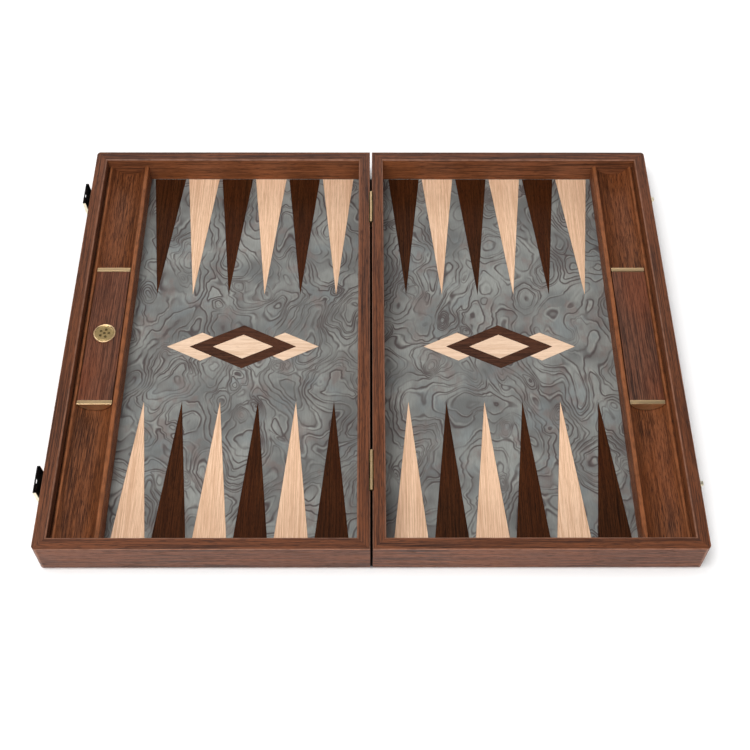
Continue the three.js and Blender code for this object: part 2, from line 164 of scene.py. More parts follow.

# %% [markdown]
# ## Wood grain that follows each plank
# Every wooden piece carries an attribute named `grain`: where each point lies in the plank that it was
# cut from, in metres, first along the grain, then across it, then through it. All woods read that
# attribute, so grain runs along every wall and turns the corner at a mitre, and an end shows end grain.
# A second attribute, `arris`, is 1 on the softened edges, which the woods paint paler: partly wear from
# polish and handling, partly a painted highlight along the rounded edge.

# %% Grain, and edge wear with painted highlight, as shader groups
def make_grain_group():
    inputs = [
        ("Grain", VECTOR, None), ("Streak Width", FLOAT, 0.004), ("Streak Length", FLOAT, 0.25),
        ("Pore Length", FLOAT, 0.006), ("Wander", FLOAT, 0.004),
    ]
    outputs = [("Streaks", FLOAT), ("Fibres", FLOAT), ("Pores", FLOAT), ("Patches", FLOAT)]
    tree, start, end = new_group("wood_grain", inputs, outputs)
    place = start.outputs["Grain"]
    sway = calc_vector(tree, "SUBTRACT", noise(tree, place, 9.0, 1.0, output="Color"), (0.5, 0.5, 0.5))
    sway = put(tree, "ShaderNodeVectorMath", {0: sway, "Scale": start.outputs["Wander"]}, operation="SCALE")
    place = calc_vector(tree, "ADD", place, sway.outputs[0])

    def streaks(width, length, detail, roughness):
        across = calc(tree, "DIVIDE", 1.0, width)
        along = calc(tree, "DIVIDE", 1.0, length)
        factors = put(tree, "ShaderNodeCombineXYZ", {0: along, 1: across, 2: across}).outputs[0]
        return noise(tree, calc_vector(tree, "MULTIPLY", place, factors), 1.0, detail, roughness)

    width, length = start.outputs["Streak Width"], start.outputs["Streak Length"]
    broad = streaks(width, length, 2.0, 0.6)
    middle = streaks(calc(tree, "MULTIPLY", width, 0.34), calc(tree, "MULTIPLY", length, 0.4), 2.0, 0.6)
    fine = streaks(calc(tree, "MULTIPLY", width, 0.13), calc(tree, "MULTIPLY", length, 0.2), 2.0, 0.6)
    pores = streaks(calc(tree, "MULTIPLY", width, 0.12), start.outputs["Pore Length"], 1.0, 0.4)
    both = calc(tree, "ADD", calc(tree, "MULTIPLY", broad, 0.4), calc(tree, "MULTIPLY", middle, 0.6))
    tree.links.new(fade(tree, both, 0.42, 0.58), end.inputs["Streaks"])
    tree.links.new(fade(tree, fine, 0.38, 0.62), end.inputs["Fibres"])
    tree.links.new(fade(tree, pores, 0.54, 0.64), end.inputs["Pores"])
    patches = noise(tree, stretch(tree, place, (0.35, 1.0, 1.0)), 26.0, 2.0)
    tree.links.new(fade(tree, patches, 0.3, 0.7), end.inputs["Patches"])
    return tree


def make_wear_and_highlight_group():
    tree, start, end = new_group("edge_wear_and_highlight", [("Grain", VECTOR, None)], [("Wear And Highlight", FLOAT)])
    # The arris mask, broken up by noise: paler edges, partly wear and partly a painted highlight.
    arris = put(tree, "ShaderNodeAttribute", attribute_name="arris").outputs["Fac"]
    broken = noise(tree, start.outputs["Grain"], 120.0, 3.0)
    patchy = fade(tree, broken, 0.25, 0.65, 0.35, 1.0)
    tree.links.new(calc(tree, "MULTIPLY", arris, patchy), end.inputs["Wear And Highlight"])
    return tree


wood_grain = make_grain_group()
edge_wear_and_highlight = make_wear_and_highlight_group()
print("shader groups:", wood_grain.name, edge_wear_and_highlight.name)

# %% [markdown]
# ## The woods
# Each wood is its own material with its own colours, but all of them get their streaks, fibres and
# pores from the shared group. Base colour mixes a dark and a light tone by the streaks, a redder tone
# by slow patches, and then darkens in the pores. Roughness and a shallow bump use the same masks, so a
# pore is dark, dull and sunk all at once. The finish is a thin satin lacquer. The walls' inner faces get
# a lighter and warmer copy of the walnut, as painted bounce light from the pale veneers, so they have a
# material of their own; the left outer wall's inner face keeps the plain walnut.

# %% Solid and veneered woods
def start_material(name):
    material = bpy.data.materials.new(name)
    material.use_nodes = True
    tree = material.node_tree
    tree.nodes.clear()
    shader = put(tree, "ShaderNodeBsdfPrincipled")
    out = put(tree, "ShaderNodeOutputMaterial")
    tree.links.new(shader.outputs[0], out.inputs["Surface"])
    return material, tree, shader


def add_bump(tree, shader, height, strength, distance):
    bump = put(tree, "ShaderNodeBump", {"Height": height, "Strength": strength, "Distance": distance})
    tree.links.new(bump.outputs[0], shader.inputs["Normal"])


def wood(name, dark, light, warm, pore, streak=(0.004, 0.25), pore_length=0.006, wander=0.004,
         warmth=0.5, pore_depth=0.6, fibre=0.35, gloss=0.42, specular=0.35, wear_and_highlight=None, relief=0.02):
    material, tree, shader = start_material(name)
    place = put(tree, "ShaderNodeAttribute", attribute_name="grain").outputs["Vector"]
    grain = use_group(tree, wood_grain, {
        "Grain": place, "Streak Width": streak[0], "Streak Length": streak[1],
        "Pore Length": pore_length, "Wander": wander,
    })
    tone = calc(tree, "ADD", calc(tree, "MULTIPLY", grain["Streaks"], 1.0 - fibre),
                calc(tree, "MULTIPLY", grain["Fibres"], fibre))
    colour = blend(tree, tone, (*dark, 1), (*light, 1))
    colour = blend(tree, calc(tree, "MULTIPLY", grain["Patches"], warmth), colour, (*warm, 1))
    colour = blend(tree, calc(tree, "MULTIPLY", grain["Pores"], pore_depth), colour, (*pore, 1))
    # Paler rounded edges: partly wear, partly a painted highlight of the edge.
    if wear_and_highlight:
        mask = use_group(tree, edge_wear_and_highlight, {"Grain": place})["Wear And Highlight"]
        colour = blend(tree, calc(tree, "MULTIPLY", mask, wear_and_highlight[1]), colour, (*wear_and_highlight[0], 1))
    tree.links.new(colour, shader.inputs["Base Color"])
    dull = calc(tree, "ADD", calc(tree, "MULTIPLY", grain["Pores"], 0.25),
                calc(tree, "MULTIPLY", grain["Fibres"], 0.1))
    tree.links.new(calc(tree, "ADD", dull, gloss), shader.inputs["Roughness"])
    height = calc(tree, "SUBTRACT", calc(tree, "MULTIPLY", grain["Fibres"], 0.4), grain["Pores"])
    add_bump(tree, shader, height, 0.35, relief * MM)
    shader.inputs["Specular IOR Level"].default_value = specular
    return material


frame_walnut = wood(
    "frame_walnut", dark=(0.014, 0.004, 0.002), light=(0.182, 0.059, 0.023), warm=(0.145, 0.037, 0.008),
    pore=(0.010, 0.004, 0.002), streak=(0.0032, 0.22), pore_length=0.010, warmth=0.38, fibre=0.3,
    wear_and_highlight=((0.38, 0.19, 0.12), 0.5), specular=0.30,
)
bounce_lit_walnut = wood(
    "bounce_lit_walnut", dark=(0.040, 0.013, 0.005), light=(0.240, 0.082, 0.034), warm=(0.235, 0.070, 0.019),
    pore=(0.020, 0.008, 0.004), streak=(0.0034, 0.13), pore_length=0.010, warmth=0.5,
    wear_and_highlight=((0.38, 0.19, 0.12), 0.5), specular=0.24,
)
rack_walnut = wood(
    "rack_walnut", dark=(0.024, 0.007, 0.003), light=(0.255, 0.088, 0.034), warm=(0.225, 0.058, 0.012),
    pore=(0.014, 0.005, 0.003), streak=(0.0030, 0.075), pore_length=0.009, warmth=0.38, pore_depth=0.8,
    fibre=0.4, wear_and_highlight=((0.36, 0.125, 0.045), 0.5), gloss=0.38, specular=0.20,
)
lid_walnut = wood(
    "lid_walnut", dark=(0.014, 0.006, 0.004), light=(0.178, 0.068, 0.037), warm=(0.230, 0.050, 0.012),
    pore=(0.012, 0.005, 0.003), streak=(0.0030, 0.11), pore_length=0.010, wander=0.003, warmth=0.4,
    fibre=0.35, wear_and_highlight=((0.34, 0.16, 0.10), 0.4), gloss=0.42, specular=0.24,
)
point_light_veneer = wood(
    "light_veneer", dark=(0.58, 0.34, 0.205), light=(0.93, 0.65, 0.45), warm=(0.82, 0.52, 0.33),
    pore=(0.44, 0.25, 0.145), streak=(0.0016, 0.16), pore_length=0.012, wander=0.002,
    warmth=0.3, pore_depth=0.5, fibre=0.35, gloss=0.45, specular=0.2, relief=0.01,
)
point_dark_veneer = wood(
    "dark_veneer", dark=(0.014, 0.004, 0.001), light=(0.068, 0.021, 0.006), warm=(0.066, 0.015, 0.003),
    pore=(0.007, 0.003, 0.001), streak=(0.0022, 0.12), wander=0.002, warmth=0.4, gloss=0.45,
    specular=0.07, relief=0.01,
)
ornament_light_veneer = wood(
    "ornament_light_veneer", dark=(0.62, 0.41, 0.27), light=(0.86, 0.65, 0.48), warm=(0.79, 0.55, 0.39),
    pore=(0.52, 0.33, 0.21), streak=(0.0030, 0.14), wander=0.006, warmth=0.35, pore_depth=0.35,
    gloss=0.45, specular=0.2, relief=0.01,
)
ornament_dark_veneer = wood(
    "ornament_dark_veneer", dark=(0.028, 0.010, 0.005), light=(0.090, 0.034, 0.017),
    warm=(0.090, 0.028, 0.011), pore=(0.014, 0.005, 0.003), streak=(0.0030, 0.12), wander=0.003,
    warmth=0.4, gloss=0.42, specular=0.14, relief=0.01,
)
print("woods:", [m.name for m in bpy.data.materials if "walnut" in m.name or "veneer" in m.name])

# %% [markdown]
# ## The burl veneer
# Burl is a sheet sliced through a knotty growth, so its growth rings show as map-like contour lines
# round scattered eyes. That is just what the contour lines of a height field look like. One group holds
# the height field: warped noise, with a bump at each eye. The figure group asks it for the height at
# three close places, which gives the slope, and divides by it. The lines then keep the same thickness
# on steep and gentle ground, as drawn rings do.

# %% The burl's height field
def make_burl_field():
    tree, start, end = new_group("burl_field", [("Place", VECTOR, None)], [("Height", FLOAT)])
    place = start.outputs["Place"]
    for scale, reach in ((11.0, 0.036), (42.0, 0.0115), (150.0, 0.0036)):
        push = calc_vector(tree, "SUBTRACT", noise(tree, place, scale, 0.0, output="Color"), (0.5, 0.5, 0.5))
        place = calc_vector(tree, "ADD", place, stretch(tree, push, (reach, reach, 0.0)))
    long_way = stretch(tree, place, (1.0, 0.66, 1.0))
    slow = noise(tree, long_way, 24.0, 1.0, 0.42)
    cells = put(tree, "ShaderNodeTexVoronoi", {"Vector": long_way, "Scale": 42.0, "Randomness": 1.0})
    eye = fade(tree, cells.outputs["Distance"], 0.0, 0.42, 1.0, 0.0)
    chosen = put(tree, "ShaderNodeSeparateColor", {"Color": cells.outputs["Color"]}).outputs[0]
    eye = calc(tree, "MULTIPLY", eye, fade(tree, chosen, 0.25, 0.85, 0.0, 0.27))
    tree.links.new(calc(tree, "ADD", slow, eye), end.inputs["Height"])
    return tree


burl_field = make_burl_field()
print("burl field nodes:", len(burl_field.nodes))

# %% The burl's contour lines and tints
RINGS_PER_UNIT = 15.0
PROBE = 0.0004
GENTLEST_SLOPE = 0.0022


def make_burl_figure():
    inputs = [("Grain", VECTOR, None), ("Line Width", FLOAT, 0.0012)]
    outputs = [("Lines", FLOAT), ("Pale", FLOAT), ("Stain", FLOAT), ("Brown", FLOAT), ("Blue", FLOAT),
               ("Fibres", FLOAT)]
    tree, start, end = new_group("burl_figure", inputs, outputs)
    place = start.outputs["Grain"]

    def height(offset):
        return use_group(tree, burl_field, {"Place": calc_vector(tree, "ADD", place, offset)})["Height"]

    here = height((0, 0, 0))
    slopes = [calc(tree, "SUBTRACT", height(step), here) for step in ((PROBE, 0, 0), (0, PROBE, 0))]
    squares = [calc(tree, "MULTIPLY", s, s) for s in slopes]
    steep = calc(tree, "MAXIMUM", calc(tree, "SQRT", calc(tree, "ADD", *squares)), GENTLEST_SLOPE)
    rings = calc(tree, "MULTIPLY", here, RINGS_PER_UNIT)
    per_metre = calc(tree, "MULTIPLY", steep, RINGS_PER_UNIT / PROBE)

    def contour(shift, width_share):
        part = calc(tree, "FRACT", calc(tree, "ADD", rings, shift))
        near = calc(tree, "MINIMUM", part, calc(tree, "SUBTRACT", 1.0, part))
        away = calc(tree, "DIVIDE", near, per_metre)
        width = calc(tree, "MULTIPLY", start.outputs["Line Width"], width_share)
        return fade(tree, calc(tree, "DIVIDE", away, width), 0.1, 1.3, 1.0, 0.0)

    strength = fade(tree, noise(tree, place, 42.0, 2.0), 0.34, 0.62, 0.25, 1.0)
    main = calc(tree, "MULTIPLY", contour(0.0, 1.0), strength)
    echo_strength = fade(tree, noise(tree, place, 27.0, 1.0), 0.40, 0.60, 0.0, 0.75)
    echo = calc(tree, "MULTIPLY", contour(0.30, 0.75), echo_strength)
    tree.links.new(calc(tree, "MAXIMUM", main, echo), end.inputs["Lines"])
    tree.links.new(calc(tree, "MULTIPLY", contour(0.15, 0.8), strength), end.inputs["Pale"])
    part = calc(tree, "SUBTRACT", 1.0, calc(tree, "FRACT", rings))
    fresh = calc(tree, "POWER", part, 2.5)
    stained = fade(tree, noise(tree, place, 30.0, 2.0), 0.44, 0.64)
    tree.links.new(calc(tree, "MULTIPLY", fresh, stained), end.inputs["Stain"])
    brown = noise(tree, stretch(tree, place, (1.0, 0.7, 1.0)), 60.0, 3.0, 0.6)
    tree.links.new(fade(tree, brown, 0.52, 0.68), end.inputs["Brown"])
    shifted = calc_vector(tree, "ADD", place, (3.1, 1.7, 0.0))
    tree.links.new(fade(tree, noise(tree, shifted, 34.0, 2.0), 0.52, 0.70), end.inputs["Blue"])
    fibres = noise(tree, stretch(tree, place, (1.0, 0.16, 1.0)), 700.0, 2.0, 0.6)
    tree.links.new(fade(tree, fibres, 0.3, 0.7), end.inputs["Fibres"])
    return tree


# Each tint of the burl: the mask that it follows, how strong it is, and its colour.
BURL_TINTS = (
    ("Blue", 0.45, (0.190, 0.218, 0.224)), ("Brown", 0.50, (0.190, 0.138, 0.124)),
    ("Stain", 0.65, (0.100, 0.080, 0.076)), ("Pale", 0.28, (0.400, 0.400, 0.360)),
    ("Fibres", 0.22, (0.100, 0.096, 0.090)), ("Lines", 0.90, (0.060, 0.044, 0.043)),
)


def make_burl():
    material, tree, shader = start_material("burl_veneer")
    place = put(tree, "ShaderNodeAttribute", attribute_name="grain").outputs["Vector"]
    figure = use_group(tree, make_burl_figure(), {"Grain": place, "Line Width": 0.00122})
    slow = fade(tree, noise(tree, place, 18.0, 3.0, 0.6), 0.32, 0.68)
    colour = blend(tree, slow, (0.142, 0.145, 0.140, 1), (0.282, 0.288, 0.268, 1))
    for mask, strength, tint in BURL_TINTS:
        colour = blend(tree, calc(tree, "MULTIPLY", figure[mask], strength), colour, (*tint, 1))
    tree.links.new(colour, shader.inputs["Base Color"])
    dull = calc(tree, "MULTIPLY", figure["Lines"], 0.12)
    tree.links.new(calc(tree, "ADD", dull, 0.42), shader.inputs["Roughness"])
    height = calc(tree, "ADD", calc(tree, "MULTIPLY", figure["Fibres"], -0.5), figure["Lines"])
    add_bump(tree, shader, height, 0.25, 0.01 * MM)
    shader.inputs["Specular IOR Level"].default_value = 0.25
    return material


burl_veneer = make_burl()
print("burl material nodes:", len(burl_veneer.node_tree.nodes))

# %% [markdown]
# ## The brass
# Satin brass shows a blurred picture of the room, broken by fine scratches and by clouds of tarnish. The
# scratches are noise stretched a long way in one direction. One function makes five finishes: two tones
# of kept brass, the duller dish of the medallion, the brown of places that a cloth never reaches, which
# also stands in as painted shade on the hinges' barrel flanks, and a near black that is painted shade
# inside the pressed hasps.

# %% Brass, polished and tarnished
def brass(name, bright, tarnish, gloss, tarnish_amount):
    material, tree, shader = start_material(name)
    place = put(tree, "ShaderNodeTexCoord").outputs["Object"]
    scratches = noise(tree, stretch(tree, place, (1.0, 0.06, 1.0)), 2600.0, 1.0, 0.5)
    cloud = noise(tree, place, 160.0, 3.0, 0.6)
    spots = fade(tree, cloud, 0.42, 0.72)
    colour = blend(tree, calc(tree, "MULTIPLY", spots, tarnish_amount), (*bright, 1), (*tarnish, 1))
    tree.links.new(colour, shader.inputs["Base Color"])
    rough = calc(tree, "ADD", fade(tree, scratches, 0.3, 0.7, 0.0, 0.04),
                 calc(tree, "MULTIPLY", spots, 0.12))
    tree.links.new(calc(tree, "ADD", rough, gloss), shader.inputs["Roughness"])
    add_bump(tree, shader, cloud, 0.1, 0.01 * MM)
    shader.inputs["Metallic"].default_value = 1.0
    return material


polished_brass = brass("polished_brass", (0.80, 0.57, 0.32), (0.52, 0.35, 0.16), 0.34, 0.35)
latch_brass = brass("latch_brass", (0.93, 0.86, 0.66), (0.66, 0.56, 0.34), 0.34, 0.25)
dish_brass = brass("dish_brass", (0.62, 0.45, 0.21), (0.32, 0.22, 0.09), 0.36, 0.7)
# Dark brown brass: the medallion's dark ring and rosette, and painted shade on the hinges' barrel flanks.
patina_and_shade_brass = brass("patina_and_shade_brass", (0.12, 0.088, 0.036), (0.05, 0.035, 0.014), 0.45, 0.6)
# Near black: painted shade inside the hollow of each hasp.
hasp_shade_metal = brass("painted_shade_metal", (0.020, 0.022, 0.026), (0.008, 0.008, 0.009), 0.45, 0.5)
metals = (polished_brass, latch_brass, dish_brass, patina_and_shade_brass, hasp_shade_metal)
print("metals:", [m.name for m in metals])

# %% [markdown]
# ## Helpers for solid pieces
# Wooden pieces are bars of one section, so an outline with rounded corners, run along a line, makes
# most of them. `carve` cuts one mesh with another. `finish_piece` gives a piece its normals and its
# body, and hides the frame node that it stands for.

# %% Solid helpers
def rounded_outline(corners, facets=7):
    """Corners are (x, y) or (x, y, radius); each rounded corner becomes an arc."""
    points = []
    count = len(corners)
    for i, corner in enumerate(corners):
        here = Vector(corner[:2])
        radius = corner[2] if len(corner) > 2 else 0.0
        if radius == 0.0:
            points.append(here)
            continue
        back = (Vector(corners[i - 1][:2]) - here).normalized()
        ahead = (Vector(corners[(i + 1) % count][:2]) - here).normalized()
        half = back.angle(ahead) / 2
        centre = here + (back + ahead).normalized() * (radius / math.sin(half))
        first = here + back * (radius / math.tan(half)) - centre
        last = here + ahead * (radius / math.tan(half)) - centre
        turn = math.atan2(first.cross(last), first.dot(last))
        for k in range(facets + 1):
            angle = turn * k / facets
            cos, sin = math.cos(angle), math.sin(angle)
            points.append(centre + Vector((first.x * cos - first.y * sin, first.x * sin + first.y * cos)))
    return points


def add_object(name, data):
    thing = bpy.data.objects.new(name, data)
    bpy.context.scene.collection.objects.link(thing)
    return thing


def make_object(name, mesh, material):
    mesh.materials.append(material)
    return add_object(name, mesh)


def mesh_from(build, name):
    """Turns a finished bmesh into a mesh and lets the bmesh go."""
    mesh = bpy.data.meshes.new(name)
    build.to_mesh(mesh)
    build.free()
    return mesh


def rings_to_mesh(name, rings):
    """A closed mesh through rings of points, with a flat face at each end."""
    build = bmesh.new()
    loops = [[build.verts.new(point) for point in ring] for ring in rings]
    for first, second in zip(loops, loops[1:]):
        for i in range(len(first)):
            j = (i + 1) % len(first)
            build.faces.new((first[i], first[j], second[j], second[i]))
    build.faces.new(loops[0])
    build.faces.new(loops[-1])
    bmesh.ops.recalc_face_normals(build, faces=build.faces)
    return mesh_from(build, name)


def flat_solid(name, outline, low, high):
    """A plate of a given outline in plan, between two heights."""
    return rings_to_mesh(name, [[Vector((p.x, p.y, z)) for p in outline] for z in (low, high)])


def box_solid(name, a, b):
    corners = [Vector(p) for p in ((a[0], a[1]), (b[0], a[1]), (b[0], b[1]), (a[0], b[1]))]
    return flat_solid(name, corners, min(a[2], b[2]), max(a[2], b[2]))


def join_meshes(name, meshes):
    build = bmesh.new()
    for mesh in meshes:
        build.from_mesh(mesh)
        bpy.data.meshes.remove(mesh)
    return mesh_from(build, name)


def settle(piece):
    """Turns the piece's modifiers into plain mesh."""
    evaluated = piece.evaluated_get(bpy.context.evaluated_depsgraph_get())
    plain = bpy.data.meshes.new_from_object(evaluated)
    old = piece.data
    piece.modifiers.clear()
    piece.data = plain
    plain.name = piece.name
    bpy.data.meshes.remove(old)


def carve(piece, cutter_mesh):
    cutter = add_object("cutter", cutter_mesh)
    knife = piece.modifiers.new("carve", "BOOLEAN")
    knife.operation = "DIFFERENCE"
    knife.solver = "EXACT"
    knife.object = cutter
    settle(piece)
    bpy.data.objects.remove(cutter)
    bpy.data.meshes.remove(cutter_mesh)


def lay_grain(mesh, along, across, shift=(0.0, 0.0, 0.0), arris_at=None):
    """Stores where each point lies in its plank, and how far it is a softened edge.

    The shift picks the stretch of the log, so that no two planks look the same.
    """
    through = along.cross(across)
    shift = Vector(shift)
    grain = mesh.attributes.new("grain", "FLOAT_VECTOR", "POINT")
    for vertex, value in zip(mesh.vertices, grain.data):
        value.vector = Vector([vertex.co.dot(axis) for axis in (along, across, through)]) + shift
    if arris_at:
        arris = mesh.attributes.new("arris", "FLOAT", "POINT")
        for vertex, value in zip(mesh.vertices, arris.data):
            value.value = arris_at(vertex.co)


def soften(piece, width, segments=2, angle=40.0):
    """Rounds every edge that is sharper than an angle."""
    edge = piece.modifiers.new("soft_edges", "BEVEL")
    edge.width = width
    edge.segments = segments
    edge.limit_method = "ANGLE"
    edge.angle_limit = math.radians(angle)
    settle(piece)


def finish_piece(piece, body, stands_for=(), bevel=0.0, smooth_angle=35.0):
    if bevel:
        soften(piece, bevel)
    piece.data.shade_smooth()
    piece.data.set_sharp_from_angle(angle=math.radians(smooth_angle))
    even = piece.modifiers.new("even_normals", "WEIGHTED_NORMAL")
    even.keep_sharp = True
    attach(piece, body)
    if stands_for:
        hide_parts(*stands_for)
    return piece


print("solid helpers ready")

# %% [markdown]
# ## The eight mitred walls
# Each tray is a frame of four walnut bars of one section, cut at 45 degrees where they meet. The inner
# edge of the rim is rounded for the fingers, and the lower outer edge is rounded so the shut case sits
# well in the hand. Sweeping the section and pulling its ends in by each point's depth gives a true
# mitre. A knife of the waste's shape then rounds the upright corners, all but the square ones at the
# fold. The walls beside the fold also have shallow pockets for the hinge leaves.

# %% Sizes of the trays
def size_of(node):
    low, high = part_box(node)
    return high - low


outer_wall_low, outer_wall_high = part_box("right_outer_wall")
wall_thickness = outer_wall_high.x - outer_wall_low.x
tray_height = outer_wall_high.z
outer_x = outer_wall_high.x
inner_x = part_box("right_hinge_wall")[0].x
half_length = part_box("right_back_wall")[1].y
board_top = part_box("right_board")[1].z
rebate_depth = 6 * MM
rebate_height = board_top + 0.3 * MM
rim_inner_round = 1.6 * MM
rim_outer_round = 0.9 * MM
lower_round = 4.5 * MM
upright_round = 5.0 * MM
hair = 0.04 * MM
hinge_play = 0.15 * MM
hinge_pocket_depth = 1.05 * MM
hinge_trough_radius = 1.9 * MM
print("wall", round(wall_thickness / MM, 2), "tray height", round(tray_height / MM, 2))


# %% Walls
def wall_section():
    return rounded_outline([
        (0, 0, lower_round), (wall_thickness - rebate_depth, 0),
        (wall_thickness - rebate_depth, rebate_height), (wall_thickness, rebate_height),
        (wall_thickness, tray_height, rim_inner_round), (0, tray_height, rim_outer_round),
    ])


def wall_arris(depth, height):
    """1 in the middle of a rounded edge of the wall's section, 0 on its flats."""
    rounds = (
        (lower_round, lower_round, -1, -1, lower_round),
        (wall_thickness - rim_inner_round, tray_height - rim_inner_round, 1, 1, rim_inner_round),
        (rim_outer_round, tray_height - rim_outer_round, -1, 1, rim_outer_round),
    )
    for centre_depth, centre_height, way_in, way_up, radius in rounds:
        a = (depth - centre_depth) * way_in
        b = (height - centre_height) * way_up
        if a > 0 and b > 0 and abs(math.hypot(a, b) - radius) < 0.1 * radius:
            return math.sin(2 * math.atan2(b, a))
    return 0.0


def hinge_pockets(side):
    """What the hinges take out of a wall beside the fold."""
    cuts = []
    for where, _ in ENDS:
        leaf_low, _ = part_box(f"{where}_hinge_{SIDE_NAMES[side]}_leaf")
        pin_low, pin_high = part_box(f"{where}_hinge_pin")
        y0, y1 = pin_low.y - hinge_play, pin_high.y + hinge_play
        foot = leaf_low.z - hinge_play
        deep = side * (inner_x + hinge_pocket_depth)
        cuts.append(box_solid("pocket", (-side * MM, y0, foot), (deep, y1, tray_height + MM)))
        axis = Z * ((pin_low.z + pin_high.z) / 2)
        angles = [2 * math.pi * k / 40 for k in range(40)]
        ring = [axis + Vector((math.cos(a), 0, math.sin(a))) * hinge_trough_radius for a in angles]
        cuts.append(rings_to_mesh("trough", [[p + Y * y for p in ring] for y in (y0, y1)]))
    return cuts


def corner_knife(corner, way_x, way_y, radius, facets=8):
    """What rounding an upright corner of the case takes away."""
    outward = Vector((way_x, way_y))
    centre = corner - outward * radius
    over = MM
    outline = [corner + outward * over, Vector((centre.x, corner.y + way_y * over))]
    for k in range(facets + 1):
        angle = math.radians(90 * k / facets)
        outline.append(centre + Vector((way_x * math.sin(angle), way_y * math.cos(angle))) * radius)
    outline.append(Vector((corner.x + way_x * over, centre.y)))
    return flat_solid("knife", outline, -MM, tray_height + MM)


def add_wall(name, side, place, run):
    """place is the outer face's foot, run the wall's direction; the inside lies to its left."""
    inward = Z.cross(run)
    runs_back = abs(run.y) > 0.5
    beside_fold = name.endswith("hinge_wall")
    length = 2 * half_length if runs_back else outer_x - inner_x
    section = wall_section()
    rings = []
    for way in (-1, 1):
        rings.append([
            place + inward * p.x + Z * p.y + run * way * (length / 2 - p.x - hair) for p in section
        ])
    piece = make_object(f"{name}_timber", rings_to_mesh(name, rings), frame_walnut)
    if beside_fold:
        for cutter in hinge_pockets(side):
            carve(piece, cutter)
    for end in (-1, 1):
        has_this_corner = not beside_fold if runs_back else end * place.y > 0
        if has_this_corner:
            corner = Vector((side * outer_x, end * half_length))
            carve(piece, corner_knife(corner, side, end, upright_round))
    number = len([o for o in bpy.data.objects if o.name.endswith("_timber")])
    lay_grain(
        piece.data, run, inward, (0.91 * number, 0.37 * number, 0.13 * number),
        lambda co: wall_arris((co - place).dot(inward), co.z),
    )
    # Painted bounce light: the inner faces get the lighter, warmer walnut, but the left outer wall's inner
    # face, which the key light leaves in shade, keeps the plain walnut.
    piece.data.materials.append(bounce_lit_walnut)
    gets_painted_bounce = name != "left_outer_wall"
    for face in piece.data.polygons:
        looks_in = face.normal.dot(inward) > 0.99
        depth = (face.center - place).dot(inward)
        if gets_painted_bounce and looks_in and depth > wall_thickness - 0.1 * MM:
            face.material_index = 1
    finish_piece(piece, f"{SIDE_NAMES[side]}_tray", [name])


for side_name, side in SIDES:
    middle = side * (outer_x + inner_x) / 2
    add_wall(f"{side_name}_outer_wall", side, X * side * outer_x, Y * side)
    add_wall(f"{side_name}_hinge_wall", side, X * side * inner_x, -Y * side)
    for end_name, end in ENDS:
        add_wall(f"{side_name}_{end_name}_wall", side, Vector((middle, end * half_length, 0)), -X * end)

# %% [markdown]
# ## The inlay outlines
# The pattern of the board is veneer let into veneer. Every inlay is a flat outline, and the board under
# it has a recess of the same outline, a hair wider. That hair is the glue line that frames each point.
# The ornament between the points is a dark diamond with a light diamond in it, and a light chevron at
# each end of it.

# %% Outlines of the ornament
inlay_thickness = size_of("left_centre_diamond").z
glue_line = 0.14 * MM
glue_bed = 0.02 * MM
CENTRE_DIAMOND = (30.1 * MM, 14.6 * MM)
CHEVRON_TIP, CHEVRON_SHOULDER = 76.7 * MM, (41.9 * MM, 17.4 * MM)
CHEVRON_HEEL = (30.3 * MM, 11.6 * MM)
CHEVRON_GAP = 0.2 * MM


def grown(outline, distance):
    """The outline, anticlockwise, with every side moved out by a distance."""
    result = []
    for i, here in enumerate(outline):
        before = (here - outline[i - 1]).normalized()
        after = (outline[(i + 1) % len(outline)] - here).normalized()
        out_before = Vector((before.y, -before.x))
        out_after = Vector((after.y, -after.x))
        mitre = (out_before + out_after).normalized()
        result.append(here + mitre * (distance / mitre.dot(out_before)))
    return result


def diamond(centre_x, half_x, half_y):
    corners = ((-half_x, 0), (0, -half_y), (half_x, 0), (0, half_y))
    return [Vector((centre_x + x, y)) for x, y in corners]


def chevron(centre_x, way):
    corners = [
        (way * CHEVRON_TIP, 0), (way * CHEVRON_SHOULDER[0], CHEVRON_SHOULDER[1]),
        (way * CHEVRON_HEEL[0], CHEVRON_HEEL[1]), (way * (dark_half.x + CHEVRON_GAP), 0),
        (way * CHEVRON_HEEL[0], -CHEVRON_HEEL[1]), (way * CHEVRON_SHOULDER[0], -CHEVRON_SHOULDER[1]),
    ]
    outline = [Vector((centre_x + x, y)) for x, y in corners]
    return outline if way > 0 else outline[::-1]


dark_low, dark_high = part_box("right_centre_diamond")
dark_half = (dark_high - dark_low) / 2
field_centre = (dark_high.x + dark_low.x) / 2
print("ornament centre", round(field_centre / MM, 1), "half size", [round(v / MM, 1) for v in dark_half[:2]])

# %% [markdown]
# ## The points
# The 24 points are long triangles of straight-grained veneer, dark and light by turns. Six of them
# stand in each row, and the two colours alternate, so each colour is a row of three at twice the pitch.
# A Geometry Nodes tree makes such a row. It tapers a flat grid into a triangle, gives it thickness,
# sets it on a line of places, and gives each triangle its own stretch of veneer so that no two match.

# %% A tree that makes a row of points
MERGE_REACH = 0.01 * MM


def paint_and_end(tree, end, geometry, material):
    """The last step of every tree: its material, and out."""
    painted = put(tree, "GeometryNodeSetMaterial", {"Geometry": geometry, "Material": material})
    tree.links.new(painted.outputs[0], end.inputs[0])


